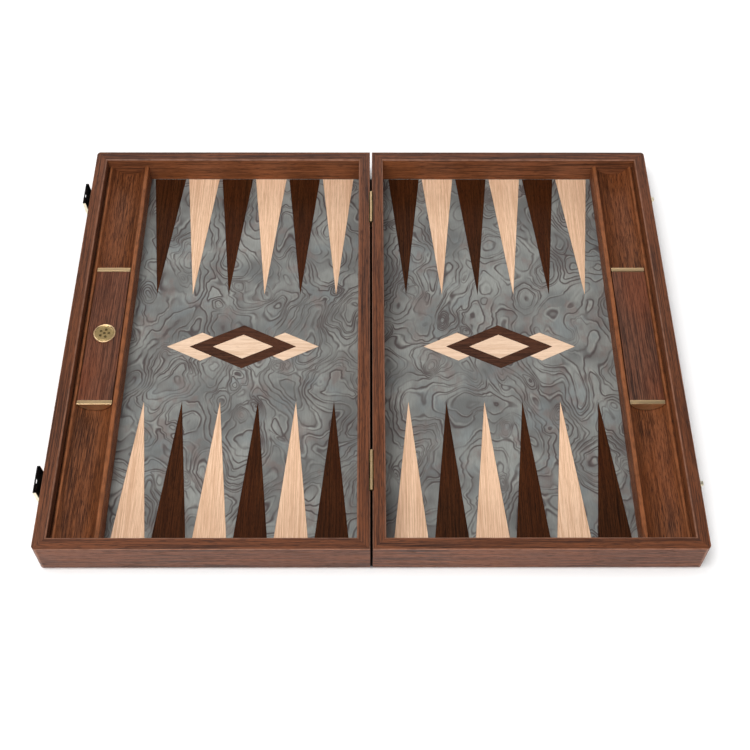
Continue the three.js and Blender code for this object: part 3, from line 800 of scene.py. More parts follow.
def make_point_row_tree():
    inputs = [
        ("Count", "NodeSocketInt", 3), ("Start", VECTOR, (0.0, 0.0, 0.0)), ("Pitch", FLOAT, 0.07),
        ("Base", FLOAT, 0.034), ("Length", FLOAT, 0.16), ("Thickness", FLOAT, 0.0006),
        ("Turn", FLOAT, 0.0), ("Seed", "NodeSocketInt", 0), ("Material", "NodeSocketMaterial", None),
    ]
    tree, start, end = new_group("point_row", inputs, [("Geometry", "NodeSocketGeometry")],
                                 "GeometryNodeTree")
    given = start.outputs
    grid = put(tree, "GeometryNodeMeshGrid", {
        "Size X": given["Base"], "Size Y": given["Length"], "Vertices X": 2, "Vertices Y": 2,
    })
    place = put(tree, "ShaderNodeSeparateXYZ", {0: put(tree, "GeometryNodeInputPosition").outputs[0]})
    share = calc(tree, "SUBTRACT", 0.5, calc(tree, "DIVIDE", place.outputs["Y"], given["Length"]))
    tapered = put(tree, "ShaderNodeCombineXYZ", {
        "X": calc(tree, "MULTIPLY", place.outputs["X"], share), "Y": place.outputs["Y"],
    })
    triangle = put(tree, "GeometryNodeSetPosition", {
        "Geometry": grid.outputs["Mesh"], "Position": tapered.outputs[0],
    })
    triangle = put(tree, "GeometryNodeMergeByDistance", {
        "Geometry": triangle.outputs[0], "Distance": MERGE_REACH,
    })
    down = calc(tree, "MULTIPLY", given["Thickness"], -1.0)
    sunk = put(tree, "GeometryNodeExtrudeMesh", {
        "Mesh": triangle.outputs[0], "Offset Scale": down, "Individual": False,
    }, mode="FACES")
    both = put(tree, "GeometryNodeJoinGeometry")
    tree.links.new(triangle.outputs[0], both.inputs[0])
    flipped = put(tree, "GeometryNodeFlipFaces", {"Mesh": sunk.outputs["Mesh"]})
    tree.links.new(flipped.outputs[0], both.inputs[0])
    solid = put(tree, "GeometryNodeMergeByDistance", {"Geometry": both.outputs[0], "Distance": MERGE_REACH})

    here = put(tree, "ShaderNodeSeparateXYZ", {0: put(tree, "GeometryNodeInputPosition").outputs[0]})
    veneer = put(tree, "ShaderNodeCombineXYZ", {
        0: here.outputs["Y"], 1: here.outputs["X"], 2: here.outputs["Z"],
    })
    marked = put(tree, "GeometryNodeStoreNamedAttribute", {
        "Geometry": solid.outputs[0], "Name": "grain", "Value": veneer.outputs[0],
    }, data_type="FLOAT_VECTOR", domain="POINT")

    step = put(tree, "ShaderNodeCombineXYZ", {"X": given["Pitch"]})
    line = put(tree, "GeometryNodeMeshLine", {
        "Count": given["Count"], "Start Location": given["Start"], "Offset": step.outputs[0],
    })
    turn = put(tree, "ShaderNodeCombineXYZ", {"Z": given["Turn"]})
    row = put(tree, "GeometryNodeInstanceOnPoints", {
        "Points": line.outputs["Mesh"], "Instance": marked.outputs[0], "Rotation": turn.outputs[0],
    })
    sheet = put(tree, "FunctionNodeRandomValue", {
        "Min": (-3.0, -3.0, -3.0), "Max": (3.0, 3.0, 3.0), "Seed": given["Seed"],
    }, data_type="FLOAT_VECTOR")
    row = put(tree, "GeometryNodeStoreNamedAttribute", {
        "Geometry": row.outputs[0], "Name": "sheet", "Value": sheet.outputs["Value"],
    }, data_type="FLOAT_VECTOR", domain="INSTANCE")
    real = put(tree, "GeometryNodeRealizeInstances", {"Geometry": row.outputs[0]})
    own = put(tree, "GeometryNodeInputNamedAttribute", {"Name": "sheet"}, data_type="FLOAT_VECTOR")
    local = put(tree, "GeometryNodeInputNamedAttribute", {"Name": "grain"}, data_type="FLOAT_VECTOR")
    final = calc_vector(tree, "ADD", own.outputs["Attribute"], local.outputs["Attribute"])
    real = put(tree, "GeometryNodeStoreNamedAttribute", {
        "Geometry": real.outputs[0], "Name": "grain", "Value": final,
    }, data_type="FLOAT_VECTOR", domain="POINT")
    paint_and_end(tree, end, real.outputs[0], given["Material"])
    return tree


def set_inputs(modifier, values):
    """Sets a Geometry Nodes modifier's inputs by their names in the tree."""
    for item in modifier.node_group.interface.items_tree:
        if item.in_out == "INPUT" and item.name in values:
            modifier[item.identifier] = values[item.name]


def grow(name, tree, values):
    """A plain mesh from a Geometry Nodes tree with these named inputs."""
    seedling = add_object(name, bpy.data.meshes.new(name))
    modifier = seedling.modifiers.new(tree.name, "NODES")
    modifier.node_group = tree
    set_inputs(modifier, values)
    evaluated = seedling.evaluated_get(bpy.context.evaluated_depsgraph_get())
    mesh = bpy.data.meshes.new_from_object(evaluated)
    bpy.data.objects.remove(seedling)
    return mesh


point_row_tree = make_point_row_tree()
print("row tree nodes:", len(point_row_tree.nodes))

# %% Rows of points
point_low, point_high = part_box("right_back_point_1")
point_base = point_high.x - point_low.x
point_length = point_high.y - point_low.y
point_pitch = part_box("right_back_point_2")[0].x - point_low.x
point_middle_y = (point_low.y + point_high.y) / 2
COLOURS = (("dark", point_dark_veneer, 1), ("light", point_light_veneer, -1))


def point_x(side, index):
    return side * field_centre + (index - 3.5) * point_pitch


def add_points(side_name, side, colour, material, leads_at):
    rows = []
    nodes = []
    for end_name, end in ENDS:
        first = 1 if end == leads_at else 2
        rows.append(grow("row", point_row_tree, {
            "Count": 3, "Start": (point_x(side, first), end * point_middle_y, point_high.z),
            "Pitch": 2 * point_pitch, "Base": point_base, "Length": point_length,
            "Thickness": inlay_thickness, "Turn": math.pi if end > 0 else 0.0,
            "Seed": 7 + 2 * side + end, "Material": material,
        }))
        nodes += [f"{side_name}_{end_name}_point_{i}" for i in range(first, 7, 2)]
    mesh = join_meshes(f"{side_name}_{colour}_points", rows)
    piece = make_object(mesh.name, mesh, material)
    finish_piece(piece, f"{side_name}_tray", nodes)
    return piece


for side_name, side in SIDES:
    for colour, material, leads_at in COLOURS:
        points = add_points(side_name, side, colour, material, leads_at)
        print(points.name, len(points.data.polygons), "faces", [round(v / MM, 1) for v in points.dimensions])

# %% [markdown]
# ## The ornament and the boards
# The dark diamond is itself recessed for the light one. The board closes the tray from below in a
# rebate of the walls, and its burl shows on the underside too, as the outside of the shut case. The
# recesses are cut with exact solids, so the board stays closed and its top stays flat.

# %% Ornament pieces
def add_ornament(name, side_name, mesh, material, shift, recess=None, stands_for=()):
    piece = make_object(name, mesh, material)
    if recess:
        carve(piece, recess)
    lay_grain(piece.data, X, Y, shift)
    finish_piece(piece, f"{side_name}_tray", stands_for)


inlay_top = point_high.z
inlay_foot = inlay_top - inlay_thickness
inlay_half_way = inlay_top - inlay_thickness / 2
for side_name, side in SIDES:
    middle = side * field_centre
    dark_outline = diamond(middle, dark_half.x, dark_half.y)
    light_outline = diamond(middle, *CENTRE_DIAMOND)
    add_ornament(
        f"{side_name}_diamond_frame", side_name, flat_solid("dark", dark_outline, inlay_foot, inlay_top),
        ornament_dark_veneer, (0.3 * side, 2.0, 0.1),
        flat_solid("recess", grown(light_outline, glue_line), inlay_half_way, inlay_top + MM),
        [f"{side_name}_centre_diamond"],
    )
    add_ornament(
        f"{side_name}_light_diamond", side_name,
        flat_solid("light", light_outline, inlay_half_way, inlay_top),
        ornament_light_veneer, (0.9 * side, 1.0, 0.4),
    )
    chevrons = []
    for way in (-1, 1):
        outline = grown(chevron(middle, way), -glue_line)
        chevrons.append(flat_solid("chevron", outline, inlay_foot, inlay_top))
    add_ornament(
        f"{side_name}_light_chevrons", side_name, join_meshes("chevrons", chevrons),
        ornament_light_veneer, (0.5 * side, 3.0, 0.7),
    )
    print(side_name, "ornament done")

# %% Boards with their recesses
def add_board(side_name, side):
    low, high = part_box(f"{side_name}_board")
    name = f"{side_name}_burl_board"
    piece = make_object(name, box_solid(name, low, high), burl_veneer)
    middle = side * field_centre
    dark_outline = diamond(middle, dark_half.x, dark_half.y)
    recesses = [grown(dark_outline, glue_line), chevron(middle, -1), chevron(middle, 1)]
    for end in (-1, 1):
        foot = end * (point_middle_y + point_length / 2)
        tip = end * (point_middle_y - point_length / 2)
        half_base = end * point_base / 2
        for index in range(1, 7):
            x = point_x(side, index)
            outline = [Vector((x - half_base, foot)), Vector((x, tip)), Vector((x + half_base, foot))]
            recesses.append(grown(outline, glue_line))
    floor = high.z - inlay_thickness - glue_bed
    for recess in recesses:
        carve(piece, flat_solid("recess", recess, floor, high.z + MM))
    lay_grain(piece.data, X, Y, (1.37 * side, 0.55 * side, 0.0))
    return finish_piece(piece, f"{side_name}_tray", [f"{side_name}_board"])


for side_name, side in SIDES:
    board = add_board(side_name, side)
    print(board.name, len(board.data.polygons), "faces", round(size_of(f"{side_name}_board").x / MM, 1))

# %% [markdown]
# ## The checker racks
# A rack is one length of walnut moulding: a round groove that the checkers stand in, a rail with a
# rounded shoulder on the side of the playing field, and a narrow lip and a shadow slot beside the outer
# wall. It is the same bar from end to end, so it is the section swept along Y. A pocket for the dice is
# milled into its middle.

# %% Racks
rack_low, rack_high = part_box("right_rack")
rack_top = rack_high.z
rack_outer_x = outer_x - wall_thickness
rack_width = rack_outer_x - rack_low.x
GROOVE_WIDTH = 36.3 * MM
GROOVE_DEPTH = 12.4 * MM
SLOT_WIDTH, SLOT_DEPTH = 2.0 * MM, 3.0 * MM
LIP_WIDTH = 2.1 * MM
WALL_PLAY = 0.15 * MM
DICE_POCKET_HALF = (13 * MM, 75.2 * MM)
DICE_POCKET_FLOOR = 2.0 * MM
RAIL_ROUND, LIP_ROUND = 1.9 * MM, 0.9 * MM
groove_radius = (GROOVE_WIDTH ** 2 / 4 + GROOVE_DEPTH ** 2) / (2 * GROOVE_DEPTH)
groove_axis_z = rack_top - GROOVE_DEPTH + groove_radius
groove_centre = SLOT_WIDTH + LIP_WIDTH + GROOVE_WIDTH / 2
groove_centre_x = rack_outer_x - groove_centre
lid_low, lid_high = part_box("right_dice_lid")
dice_box_y = (lid_low.y + lid_high.y) / 2


def groove_arc(centre, radius, height, facets=48):
    half = math.acos((groove_axis_z - height) / radius)
    angles = [half * (1 - 2 * k / facets) for k in range(facets + 1)]
    return [(centre - radius * math.sin(a), groove_axis_z - radius * math.cos(a)) for a in angles]


def rack_section():
    foot = rack_low.z
    arc = groove_arc(groove_centre, groove_radius, rack_top)
    first, last = (*arc[0], 0.5 * MM), (*arc[-1], 0.7 * MM)
    return rounded_outline([
        (WALL_PLAY, foot), (WALL_PLAY, rack_top - SLOT_DEPTH), (SLOT_WIDTH, rack_top - SLOT_DEPTH),
        (SLOT_WIDTH, rack_top, LIP_ROUND), first, *arc[1:-1], last,
        (rack_width, rack_top, RAIL_ROUND), (rack_width, foot),
    ])


# The walnut paints this mask paler: wear, and a painted highlight on the rail's crest and the lip.
def rack_arris(away, height):
    """1 on the crest of the rail and of the lip, fading down their sides."""
    below = rack_top - height
    on_rail = away > groove_centre + GROOVE_WIDTH / 2 - 1.0 * MM and below < 2.0 * MM
    on_lip = SLOT_WIDTH <= away < groove_centre - GROOVE_WIDTH / 2 + 0.4 * MM and below < 1.0 * MM
    return max(0.0, 1 - below / (2.0 * MM)) if on_rail or on_lip else 0.0


def add_rack(side_name, side):
    name = f"{side_name}_checker_rack"
    section = rack_section()
    rings = []
    for y in (rack_low.y, rack_high.y):
        rings.append([Vector((side * (rack_outer_x - p.x), y, p.y)) for p in section])
    piece = make_object(name, rings_to_mesh(name, rings), rack_walnut)
    pocket_centre = Vector((side * groove_centre_x, dice_box_y))
    pocket_half = Vector(DICE_POCKET_HALF)
    pocket_low = (*(pocket_centre - pocket_half), rack_low.z + DICE_POCKET_FLOOR)
    pocket_high = (*(pocket_centre + pocket_half), rack_top)
    carve(piece, box_solid("pocket", pocket_low, pocket_high))
    lay_grain(piece.data, Y, X * side, (2.1 * side, 0.7, 0.4 * side),
              lambda co: rack_arris(rack_outer_x - abs(co.x), co.z))
    return finish_piece(piece, f"{side_name}_tray", [f"{side_name}_rack"])


for side_name, side in SIDES:
    rack = add_rack(side_name, side)
    print(rack.name, len(rack.data.polygons), "faces")

# %% [markdown]
# ## The dice boxes
# Two brass plates fill the groove and close the ends of the dice box, and a flat lid of walnut lies
# between them. The lid is a slice of the same round as the groove, so its long edges lean. The plates
# are polished on top and have a small chamfer that shows as a bright line.

# %% Lids and dividers
LID_PLAY = 0.85 * MM
LID_ROUND = 0.45 * MM
DIVIDER_PLAY = 0.8 * MM
DIVIDER_CHAMFER = 0.55 * MM


def groove_filler(name, side, clearance, low, high, y0, y1):
    radius = groove_radius - clearance
    arc = [p for p in groove_arc(0.0, radius, high) if p[1] > low]
    reach = math.sqrt(radius ** 2 - (groove_axis_z - low) ** 2) if low > groove_axis_z - radius else 0.0
    if reach:
        half = len(arc) // 2
        arc = arc[:half] + [(-reach, low), (reach, low)] + arc[half:]
    rings = [[Vector((side * groove_centre_x + u, y, z)) for u, z in arc] for y in (y0, y1)]
    return rings_to_mesh(name, rings)


def lid_arris(co, top):
    """1 on the rounded edge itself, 0 on the flats that it joins."""
    return 1.0 if 0.05 * MM < top - co.z < 0.40 * MM else 0.0


for side_name, side in SIDES:
    low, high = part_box(f"{side_name}_dice_lid")
    name = f"{side_name}_walnut_lid"
    mesh = groove_filler(name, side, LID_PLAY, low.z, high.z, low.y, high.y)
    lid = make_object(name, mesh, lid_walnut)
    soften(lid, LID_ROUND, 3, 30)
    lay_grain(lid.data, Y, X, (4.0 * side, 0.9, 0.2), lambda co: lid_arris(co, high.z))
    finish_piece(lid, f"{side_name}_lid", [f"{side_name}_dice_lid"])
    for end_name, end in ENDS:
        node = f"{side_name}_{end_name}_divider"
        low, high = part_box(node)
        mesh = groove_filler(f"{node}_plate", side, DIVIDER_PLAY, 0.0, high.z, low.y, high.y)
        plate = make_object(mesh.name, mesh, polished_brass)
        finish_piece(plate, f"{side_name}_tray", [node], bevel=DIVIDER_CHAMFER)
    print(lid.name, [round(v / MM, 1) for v in lid.dimensions])

# %% [markdown]
# ## Pressed and turned brass
# Hinges, hasps, latch bases and strikes are small stock fittings. The frame already has their shapes,
# so each one is a cleaned copy of it: its loose triangles are joined, flat faces are merged, and every
# sharp edge gets a small bevel, as tumbling in the factory would leave. Choosing faces by where they lie
# and which way they look is enough to paint the dark flanks of the hinges, which are painted shade.

# %% Cleaned copies of the fittings
def copy_of(node, name, material):
    source = frame["nodes"][node]
    build = bmesh.new()
    build.from_mesh(source.data)
    build.transform(source.matrix_world)
    bmesh.ops.remove_doubles(build, verts=build.verts, dist=MERGE_REACH)
    bmesh.ops.dissolve_limit(build, angle_limit=math.radians(1), verts=build.verts, edges=build.edges)
    bmesh.ops.recalc_face_normals(build, faces=build.faces)
    return make_object(name, mesh_from(build, name), material)


BARREL_HEIGHT = 3.4 * MM
CROWN_HALF_WIDTH = 1.1 * MM
CROWN_STEEPEST = 0.84


def paint_shaded_flanks(piece, barrel_top):
    """Paints the barrel's flanks and the leaves' top edges in dark brass, as painted shade; only the crown
    that looks up keeps the bright brass.
    """
    piece.data.materials.append(patina_and_shade_brass)
    for face in piece.data.polygons:
        crown = face.normal.z > CROWN_STEEPEST and abs(face.center.x) < CROWN_HALF_WIDTH
        if face.center.z > barrel_top - BARREL_HEIGHT and not crown:
            face.material_index = 1


LEAF_EASE = 0.08 * MM
BARREL_REACH = 1.62 * MM


def ease_leaf_top(piece, axis_height):
    """Takes a hair off a leaf's top edge, so the two leaves don't rub when the case is shut."""
    for vertex in piece.data.vertices:
        if abs(vertex.co.z - axis_height) < 0.02 * MM and abs(vertex.co.x) > BARREL_REACH:
            vertex.co.z -= LEAF_EASE


FITTINGS = (
    ("hinge_left_leaf", "left_tray", polished_brass, "polished_brass", 0.12),
    ("hinge_right_leaf", "right_tray", polished_brass, "polished_brass", 0.12),
    ("hinge_pin", "left_tray", polished_brass, "polished_brass", 0.1),
    ("latch_base", "left_tray", latch_brass, "latch_brass", 0.12),
    ("latch_pin", "left_tray", latch_brass, "latch_brass", 0.1),
    ("strike", "right_tray", latch_brass, "latch_brass", 0.15),
)
for end_name, end in ENDS:
    for kind, body, material, slot, bevel in FITTINGS:
        node = f"{end_name}_{kind}"
        piece = copy_of(node, f"{node}_brass", material)
        if kind.startswith("hinge"):
            pin_low, pin_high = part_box(f"{end_name}_hinge_pin")
            ease_leaf_top(piece, (pin_low.z + pin_high.z) / 2)
            # Painted shade on the barrel's flanks.
            paint_shaded_flanks(piece, pin_high.z)
        finish_piece(piece, body, [node], bevel=bevel * MM, smooth_angle=30)
        print(piece.name, len(piece.data.polygons), "faces")

# %% [markdown]
# ## The hasps
# A hasp is a pressed brass cap that swings up over its strike. Its outside is bright, and its hollow
# inside and every face that looks up are painted nearly black, as painted shade. The inner faces are
# found by where they lie and which way they look: towards the case, or along it.

# %% Hasps, dark inside
HASP_SIDE = 0.7 * MM
HASP_FOOT = 4 * MM
HASP_BEVEL = 0.15 * MM
for end_name, end in ENDS:
    node = f"{end_name}_hasp"
    piece = copy_of(node, f"{node}_cap", latch_brass)
    low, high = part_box(node)
    piece.data.materials.append(hasp_shade_metal)
    soften(piece, HASP_BEVEL)
    inside = 0
    for face in piece.data.polygons:
        between_sides = low.y + HASP_SIDE < face.center.y < high.y - HASP_SIDE
        hollow = between_sides and face.center.z > low.z + HASP_FOOT
        looks_in = face.normal.x > 0.3 or abs(face.normal.y) > 0.9
        # Painted shade: the hollow's inner faces and every face that looks up get the near black metal.
        if (hollow and looks_in) or face.normal.z > 0.3:
            face.material_index = 1
            inside += 1
    finish_piece(piece, f"{end_name}_latch", [node], smooth_angle=30)
    print(piece.name, "dark faces:", inside)

# %% [markdown]
# ## The medallion
# A cast disc sits on the left lid: a dull dished face inside a bright raised rim, with a dark ring in the
# corner between them, and a plain rosette of five dots round a centre dot. The disc is a profile turned
# about its axis, and the rosette is a small Geometry Nodes tree that sets one low dome at each place on a
# circle.

# %% Disc and rosette
def turned(name, profile, centre, steps=64):
    """A solid of revolution about Z from (radius, height) points, the first and last on the axis."""
    build = bmesh.new()
    rows = []
    for radius, height in profile:
        if radius == 0:
            rows.append([build.verts.new(centre + Z * height)])
            continue
        angles = [2 * math.pi * k / steps for k in range(steps)]
        rows.append([
            build.verts.new(centre + Vector((radius * math.cos(a), radius * math.sin(a), height)))
            for a in angles
        ])
    for first, second in zip(rows, rows[1:]):
        for k in range(steps):
            j = (k + 1) % steps
            corners = [first[k % len(first)], first[j % len(first)], second[j % len(second)],
                       second[k % len(second)]]
            build.faces.new(list(dict.fromkeys(corners)))
    bmesh.ops.recalc_face_normals(build, faces=build.faces)
    return mesh_from(build, name)


def make_rosette_tree():
    inputs = [
        ("Dots", "NodeSocketInt", 5), ("Ring Radius", FLOAT, 0.005), ("Dot Radius", FLOAT, 0.001),
        ("Centre", VECTOR, (0.0, 0.0, 0.0)), ("Material", "NodeSocketMaterial", None),
    ]
    tree, start, end = new_group("rosette", inputs, [("Geometry", "NodeSocketGeometry")],
                                 "GeometryNodeTree")
    given = start.outputs
    circle = put(tree, "GeometryNodeMeshCircle", {"Vertices": given["Dots"], "Radius": given["Ring Radius"]})
    middle = put(tree, "GeometryNodeMeshLine", {"Count": 1})
    places = put(tree, "GeometryNodeJoinGeometry")
    tree.links.new(circle.outputs[0], places.inputs[0])
    tree.links.new(middle.outputs[0], places.inputs[0])
    dot = put(tree, "GeometryNodeMeshUVSphere", {"Segments": 12, "Rings": 8, "Radius": given["Dot Radius"]})
    low = put(tree, "GeometryNodeTransform", {"Geometry": dot.outputs["Mesh"], "Scale": (1.0, 1.0, 0.45)})
    dots = put(tree, "GeometryNodeInstanceOnPoints", {
        "Points": places.outputs[0], "Instance": low.outputs[0],
    })
    moved = put(tree, "GeometryNodeTransform", {
        "Geometry": dots.outputs[0], "Translation": given["Centre"],
    })
    real = put(tree, "GeometryNodeRealizeInstances", {"Geometry": moved.outputs[0]})
    paint_and_end(tree, end, real.outputs[0], given["Material"])
    return tree


low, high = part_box("medallion")
medal_centre = Vector(((low.x + high.x) / 2, (low.y + high.y) / 2, low.z))
medal_radius = (high.x - low.x) / 2
medal_height = high.z - low.z
dish_radius = medal_radius - 1.3 * MM
dish_depth = 0.5 * MM
dark_ring_width = 0.7 * MM
# How far in from the edge, and how far down from the top, in mm.
RIM_STEPS = (
    (0, 0.4), (0.15, 0.1), (0.5, 0), (1.0, 0.1), (1.4, 0.35), (1.6, 0.5), (2.4, 0.5), (2.7, 0.35), (3.0, 0.5),
)
medal_profile = [(0, 0), (medal_radius - 0.15 * MM, 0), (medal_radius, 0.2 * MM)]
medal_profile += [(medal_radius - inset * MM, medal_height - drop * MM) for inset, drop in RIM_STEPS]
medal_profile.append((0, medal_height - 0.42 * MM))
disc = make_object("medallion_disc", turned("medallion_disc", medal_profile, medal_centre), polished_brass)
disc.data.materials.append(dish_brass)
disc.data.materials.append(patina_and_shade_brass)
for face in disc.data.polygons:
    away = math.hypot(face.center.x - medal_centre.x, face.center.y - medal_centre.y)
    if away < dish_radius and face.normal.z > 0.3:
        face.material_index = 2 if away > dish_radius - dark_ring_width else 1
finish_piece(disc, "left_lid", ["medallion"], smooth_angle=50)
rosette_mesh = grow("medallion_rosette", make_rosette_tree(), {
    "Dots": 5, "Ring Radius": 4.4 * MM, "Dot Radius": 1.45 * MM,
    "Centre": tuple(medal_centre + Z * (medal_height - dish_depth)), "Material": patina_and_shade_brass,
})
rosette_mesh.name = "medallion_rosette"
rosette = make_object("medallion_rosette", rosette_mesh, patina_and_shade_brass)
finish_piece(rosette, "left_lid")
print("medallion radius", round(medal_radius / MM, 1), "rosette faces", len(rosette_mesh.polygons))

# %% [markdown]
# ## The screws
# Every leaf, base and strike is held by small countersunk screws with one slot. A screw head is a flat
# cone with a bar cut out of it. The tree takes its places and turns from the points of a small mesh, so
# one tree serves all the fittings of one body, and each slot stops at its own angle, as real ones do.

# %% A tree that sets slotted screws
def make_screw_tree():
    inputs = [
        ("Places", "NodeSocketGeometry", None), ("Radius", FLOAT, 0.0015), ("Height", FLOAT, 0.0003),
        ("Seed", "NodeSocketInt", 0), ("Material", "NodeSocketMaterial", None),
    ]
    tree, start, end = new_group("slotted_screws", inputs, [("Geometry", "NodeSocketGeometry")],
                                 "GeometryNodeTree")
    given = start.outputs
    shoulder = calc(tree, "MULTIPLY", given["Radius"], 0.86)
    head = put(tree, "GeometryNodeMeshCone", {
        "Vertices": 24, "Radius Top": shoulder, "Radius Bottom": given["Radius"], "Depth": given["Height"],
    })
    slot_size = put(tree, "ShaderNodeCombineXYZ", {
        0: calc(tree, "MULTIPLY", given["Radius"], 3.0), 1: calc(tree, "MULTIPLY", given["Radius"], 0.26),
        2: given["Height"],
    })
    bar = put(tree, "GeometryNodeMeshCube", {"Size": slot_size.outputs[0]})
    lift = put(tree, "ShaderNodeCombineXYZ", {2: given["Height"]})
    bar = put(tree, "GeometryNodeTransform", {"Geometry": bar.outputs[0], "Translation": lift.outputs[0]})
    slotted = put(tree, "GeometryNodeMeshBoolean", {"Mesh 1": head.outputs["Mesh"]},
                  operation="DIFFERENCE", solver="EXACT")
    tree.links.new(bar.outputs[0], slotted.inputs["Mesh 2"])
    facing = put(tree, "GeometryNodeInputNamedAttribute", {"Name": "facing"}, data_type="FLOAT_VECTOR")
    aim = put(tree, "FunctionNodeAlignRotationToVector", {"Vector": facing.outputs["Attribute"]}, axis="Z")
    spin = put(tree, "FunctionNodeRandomValue", {"Min": 0.0, "Max": math.pi, "Seed": given["Seed"]},
               data_type="FLOAT")
    own = put(tree, "FunctionNodeAxisAngleToRotation", {
        "Axis": (0.0, 0.0, 1.0), "Angle": spin.outputs["Value"],
    })
    turned_aim = put(tree, "FunctionNodeRotateRotation", {0: aim.outputs[0], 1: own.outputs[0]},
                     rotation_space="LOCAL")
    heads = put(tree, "GeometryNodeInstanceOnPoints", {
        "Points": given["Places"], "Instance": slotted.outputs["Mesh"], "Rotation": turned_aim.outputs[0],
    })
    real = put(tree, "GeometryNodeRealizeInstances", {"Geometry": heads.outputs[0]})
    paint_and_end(tree, end, real.outputs[0], given["Material"])
    return tree


screw_tree = make_screw_tree()
SCREW_HEIGHT = 0.3 * MM


def add_screws(name, body, places, radius, material, slot, seed):
    """places are (point, the way the head looks)."""
    mesh = bpy.data.meshes.new(name)
    mesh.from_pydata([point for point, _ in places], [], [])
    facing = mesh.attributes.new("facing", "FLOAT_VECTOR", "POINT")
    for value, (_, way) in zip(facing.data, places):
        value.vector = way
    piece = add_object(name, mesh)
    modifier = piece.modifiers.new("screws", "NODES")
    modifier.node_group = screw_tree
    set_inputs(modifier, {"Radius": radius, "Height": SCREW_HEIGHT, "Seed": seed, "Material": material})
    settle(piece)
    finish_piece(piece, body, smooth_angle=30)
    print(name, len(places), "screws,", len(piece.data.polygons), "faces")


# %% Screws of the hinges, latches and strikes
HINGE_SCREW_STEP, HINGE_SCREW_LOW, HINGE_SCREW_HIGH = 14 * MM, 4.4 * MM, 9.0 * MM
BASE_SCREW_STEP, BASE_SCREW_HEIGHT, BASE_PLATE = 5.5 * MM, 4.2 * MM, 1.0 * MM
STRIKE_SCREW_STEP, STRIKE_SCREW_HEIGHT, STRIKE_PLATE = 3.6 * MM, 2.4 * MM, 0.9 * MM
hinge_places = {-1: [], 1: []}
base_places = []
strike_places = []
for end_name, end in ENDS:
    for side_name, side in SIDES:
        low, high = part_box(f"{end_name}_hinge_{side_name}_leaf")
        middle_y = (low.y + high.y) / 2
        for step in (-1, 0, 1):
            height = low.z + (HINGE_SCREW_LOW if step else HINGE_SCREW_HIGH)
            point = Vector((side * inner_x, middle_y + step * HINGE_SCREW_STEP, height))
            hinge_places[side].append((point, -X * side))
    low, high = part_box(f"{end_name}_latch_base")
    middle_y = (low.y + high.y) / 2
    for step in (-1, 1):
        point = Vector((-outer_x - BASE_PLATE, middle_y + step * BASE_SCREW_STEP, low.z + BASE_SCREW_HEIGHT))
        base_places.append((point, -X))
    low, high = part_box(f"{end_name}_strike")
    middle_y = (low.y + high.y) / 2
    for step in (-1, 1):
        point = Vector((
            outer_x + STRIKE_PLATE, middle_y + step * STRIKE_SCREW_STEP, low.z + STRIKE_SCREW_HEIGHT,
        ))
        strike_places.append((point, X))
SCREW_SETS = (
    ("left_hinge_screws", "left_tray", hinge_places[-1], 1.9 * MM, polished_brass, "polished_brass", 3),
    ("right_hinge_screws", "right_tray", hinge_places[1], 1.9 * MM, polished_brass, "polished_brass", 8),
    ("latch_screws", "left_tray", base_places, 1.6 * MM, latch_brass, "latch_brass", 5),
    ("strike_screws", "right_tray", strike_places, 1.2 * MM, latch_brass, "latch_brass", 11),
)
for screw_set in SCREW_SETS:
    add_screws(*screw_set)

# %% [markdown]
# ## Floor, light and camera
# The case lies on a pale floor under a large soft key light, high up and a little to the left and in
# front. A weak fill stands on the right, and a low panel in front and one behind light the outer walls.
# The room is white, brighter at the horizon than overhead, and that is what the brass shows. The floor
# isn't quite plain. It glows a little beyond the case, so that it stays pale, and a thin dark line is
# painted on it under the fold, because light falls through the gap and would show pale floor there. The
# line is a trick of this stage and lies bare beside the folded case. The camera looks down from in front.

# %% Stage and lights
def add_light(name, place, size, power):
    """A soft panel that looks at the middle of the case."""
    lamp = bpy.data.lights.new(name, "AREA")
    lamp.shape = "RECTANGLE"
    lamp.size, lamp.size_y = size
    lamp.energy = power
    thing = add_object(name, lamp)
    thing.location = place
    thing.rotation_euler = (-Vector(place)).to_track_quat("-Z", "Y").to_euler()


FLOOR_GLOW = 0.22
GLOW_BEYOND = (0.30, 0.24)
FOLD_LINE_EDGE = (1.1 * MM, 1.6 * MM)
FOLD_LINE_END = (0.236, 0.240)


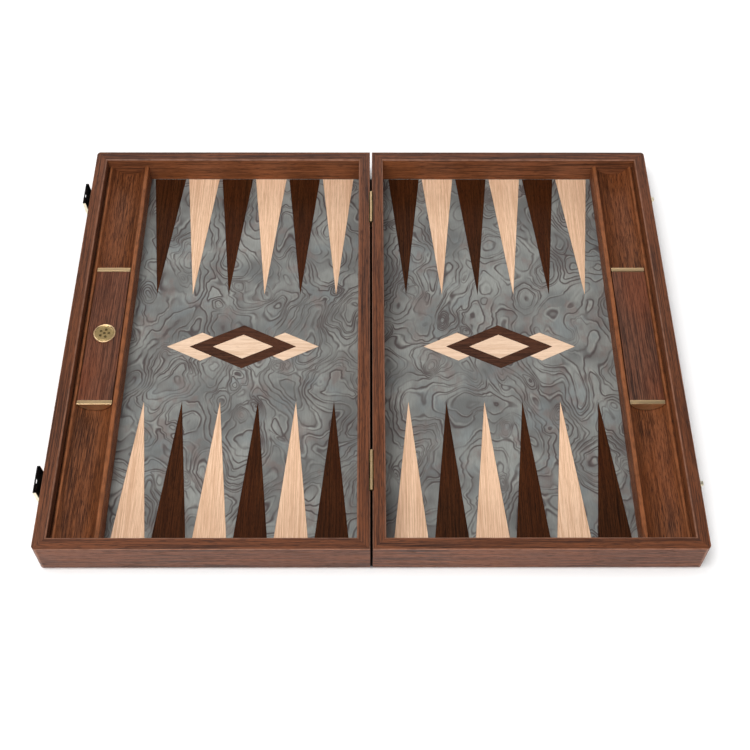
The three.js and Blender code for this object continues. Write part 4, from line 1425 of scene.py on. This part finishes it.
def make_floor():
    material, tree, shader = start_material("studio_floor")
    place = put(tree, "ShaderNodeTexCoord").outputs["Object"]
    cloud = fade(tree, noise(tree, place, 3.0, 2.0), 0.3, 0.7)
    axes = put(tree, "ShaderNodeSeparateXYZ", {0: calc_vector(tree, "ABSOLUTE", place)}).outputs
    # A thin line of painted shadow on the floor under the fold, where the gap between the trays is.
    fold = calc(tree, "MULTIPLY", fade(tree, axes["X"], *FOLD_LINE_EDGE, 1.0, 0.0),
                fade(tree, axes["Y"], *FOLD_LINE_END, 1.0, 0.0))
    pale = blend(tree, cloud, (0.88, 0.88, 0.88, 1), (0.90, 0.90, 0.90, 1))
    tree.links.new(blend(tree, fold, pale, (0.02, 0.02, 0.02, 1)), shader.inputs["Base Color"])
    beside = calc(tree, "MAXIMUM", calc(tree, "SUBTRACT", axes["X"], GLOW_BEYOND[0]),
                  calc(tree, "SUBTRACT", axes["Y"], GLOW_BEYOND[1]))
    glow = fade(tree, beside, 0.0, 0.02)
    tree.links.new(blend(tree, glow, (0, 0, 0, 1), (1, 1, 1, 1)), shader.inputs["Emission Color"])
    shader.inputs["Emission Strength"].default_value = FLOOR_GLOW
    shader.inputs["Roughness"].default_value = 0.9
    shader.inputs["Specular IOR Level"].default_value = 0.1
    corners = [Vector(p) for p in ((-6, -6), (6, -6), (6, 6), (-6, 6))]
    mesh = flat_solid("studio_floor", corners, -0.02, -0.0002)
    floor = make_object("studio_floor", mesh, material)
    floor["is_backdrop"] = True


make_floor()
world = bpy.data.worlds.new("white_room")
bpy.context.scene.world = world
world.use_nodes = True
sky = world.node_tree
background = sky.nodes["Background"]
background.inputs["Color"].default_value = (1.0, 1.0, 1.0, 1)
direction = put(sky, "ShaderNodeTexCoord").outputs["Generated"]
upward = put(sky, "ShaderNodeSeparateXYZ", {0: direction}).outputs["Z"]
sky.links.new(fade(sky, upward, 0.30, 0.88, 0.85, 0.08), background.inputs["Strength"])
add_light("key_window", (-0.8, -0.7, 2.6), (1.5, 1.5), 57.0)
add_light("right_fill", (2.4, -0.4, 1.5), (1.6, 1.6), 6.0)
add_light("front_panel", (0.0, -2.4, 0.9), (2.0, 1.0), 24.0)
add_light("back_panel", (0.0, 2.4, 1.2), (2.0, 1.0), 14.0)
scene = bpy.context.scene
scene.view_settings.view_transform = "Standard"

# %% Camera
CAMERA_PLACE = (-0.00226, -0.71049, 1.01616)
LOOKS_AT = (0.00382, -0.03230, 0.0065)
ROLL = math.radians(-0.4056)
lens = bpy.data.cameras.new("studio_camera")
lens.lens = 58.52
lens.sensor_width = 36.0
lens.clip_start = 0.01
camera = add_object("studio_camera", lens)
camera.location = CAMERA_PLACE
view_line = Vector(LOOKS_AT) - camera.location
aim = view_line.to_track_quat("-Z", "Y")
aim.rotate(Quaternion(view_line.normalized(), ROLL))
camera.rotation_mode = "QUATERNION"
camera.rotation_quaternion = aim
scene.camera = camera
print("camera", [round(v, 3) for v in camera.location], "lens", lens.lens)

# %% [markdown]
# ## Hand the case over
# The size of the finished case is printed.

# %% Finish
low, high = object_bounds()
print("size in mm:", [round(v / MM, 1) for v in high - low])
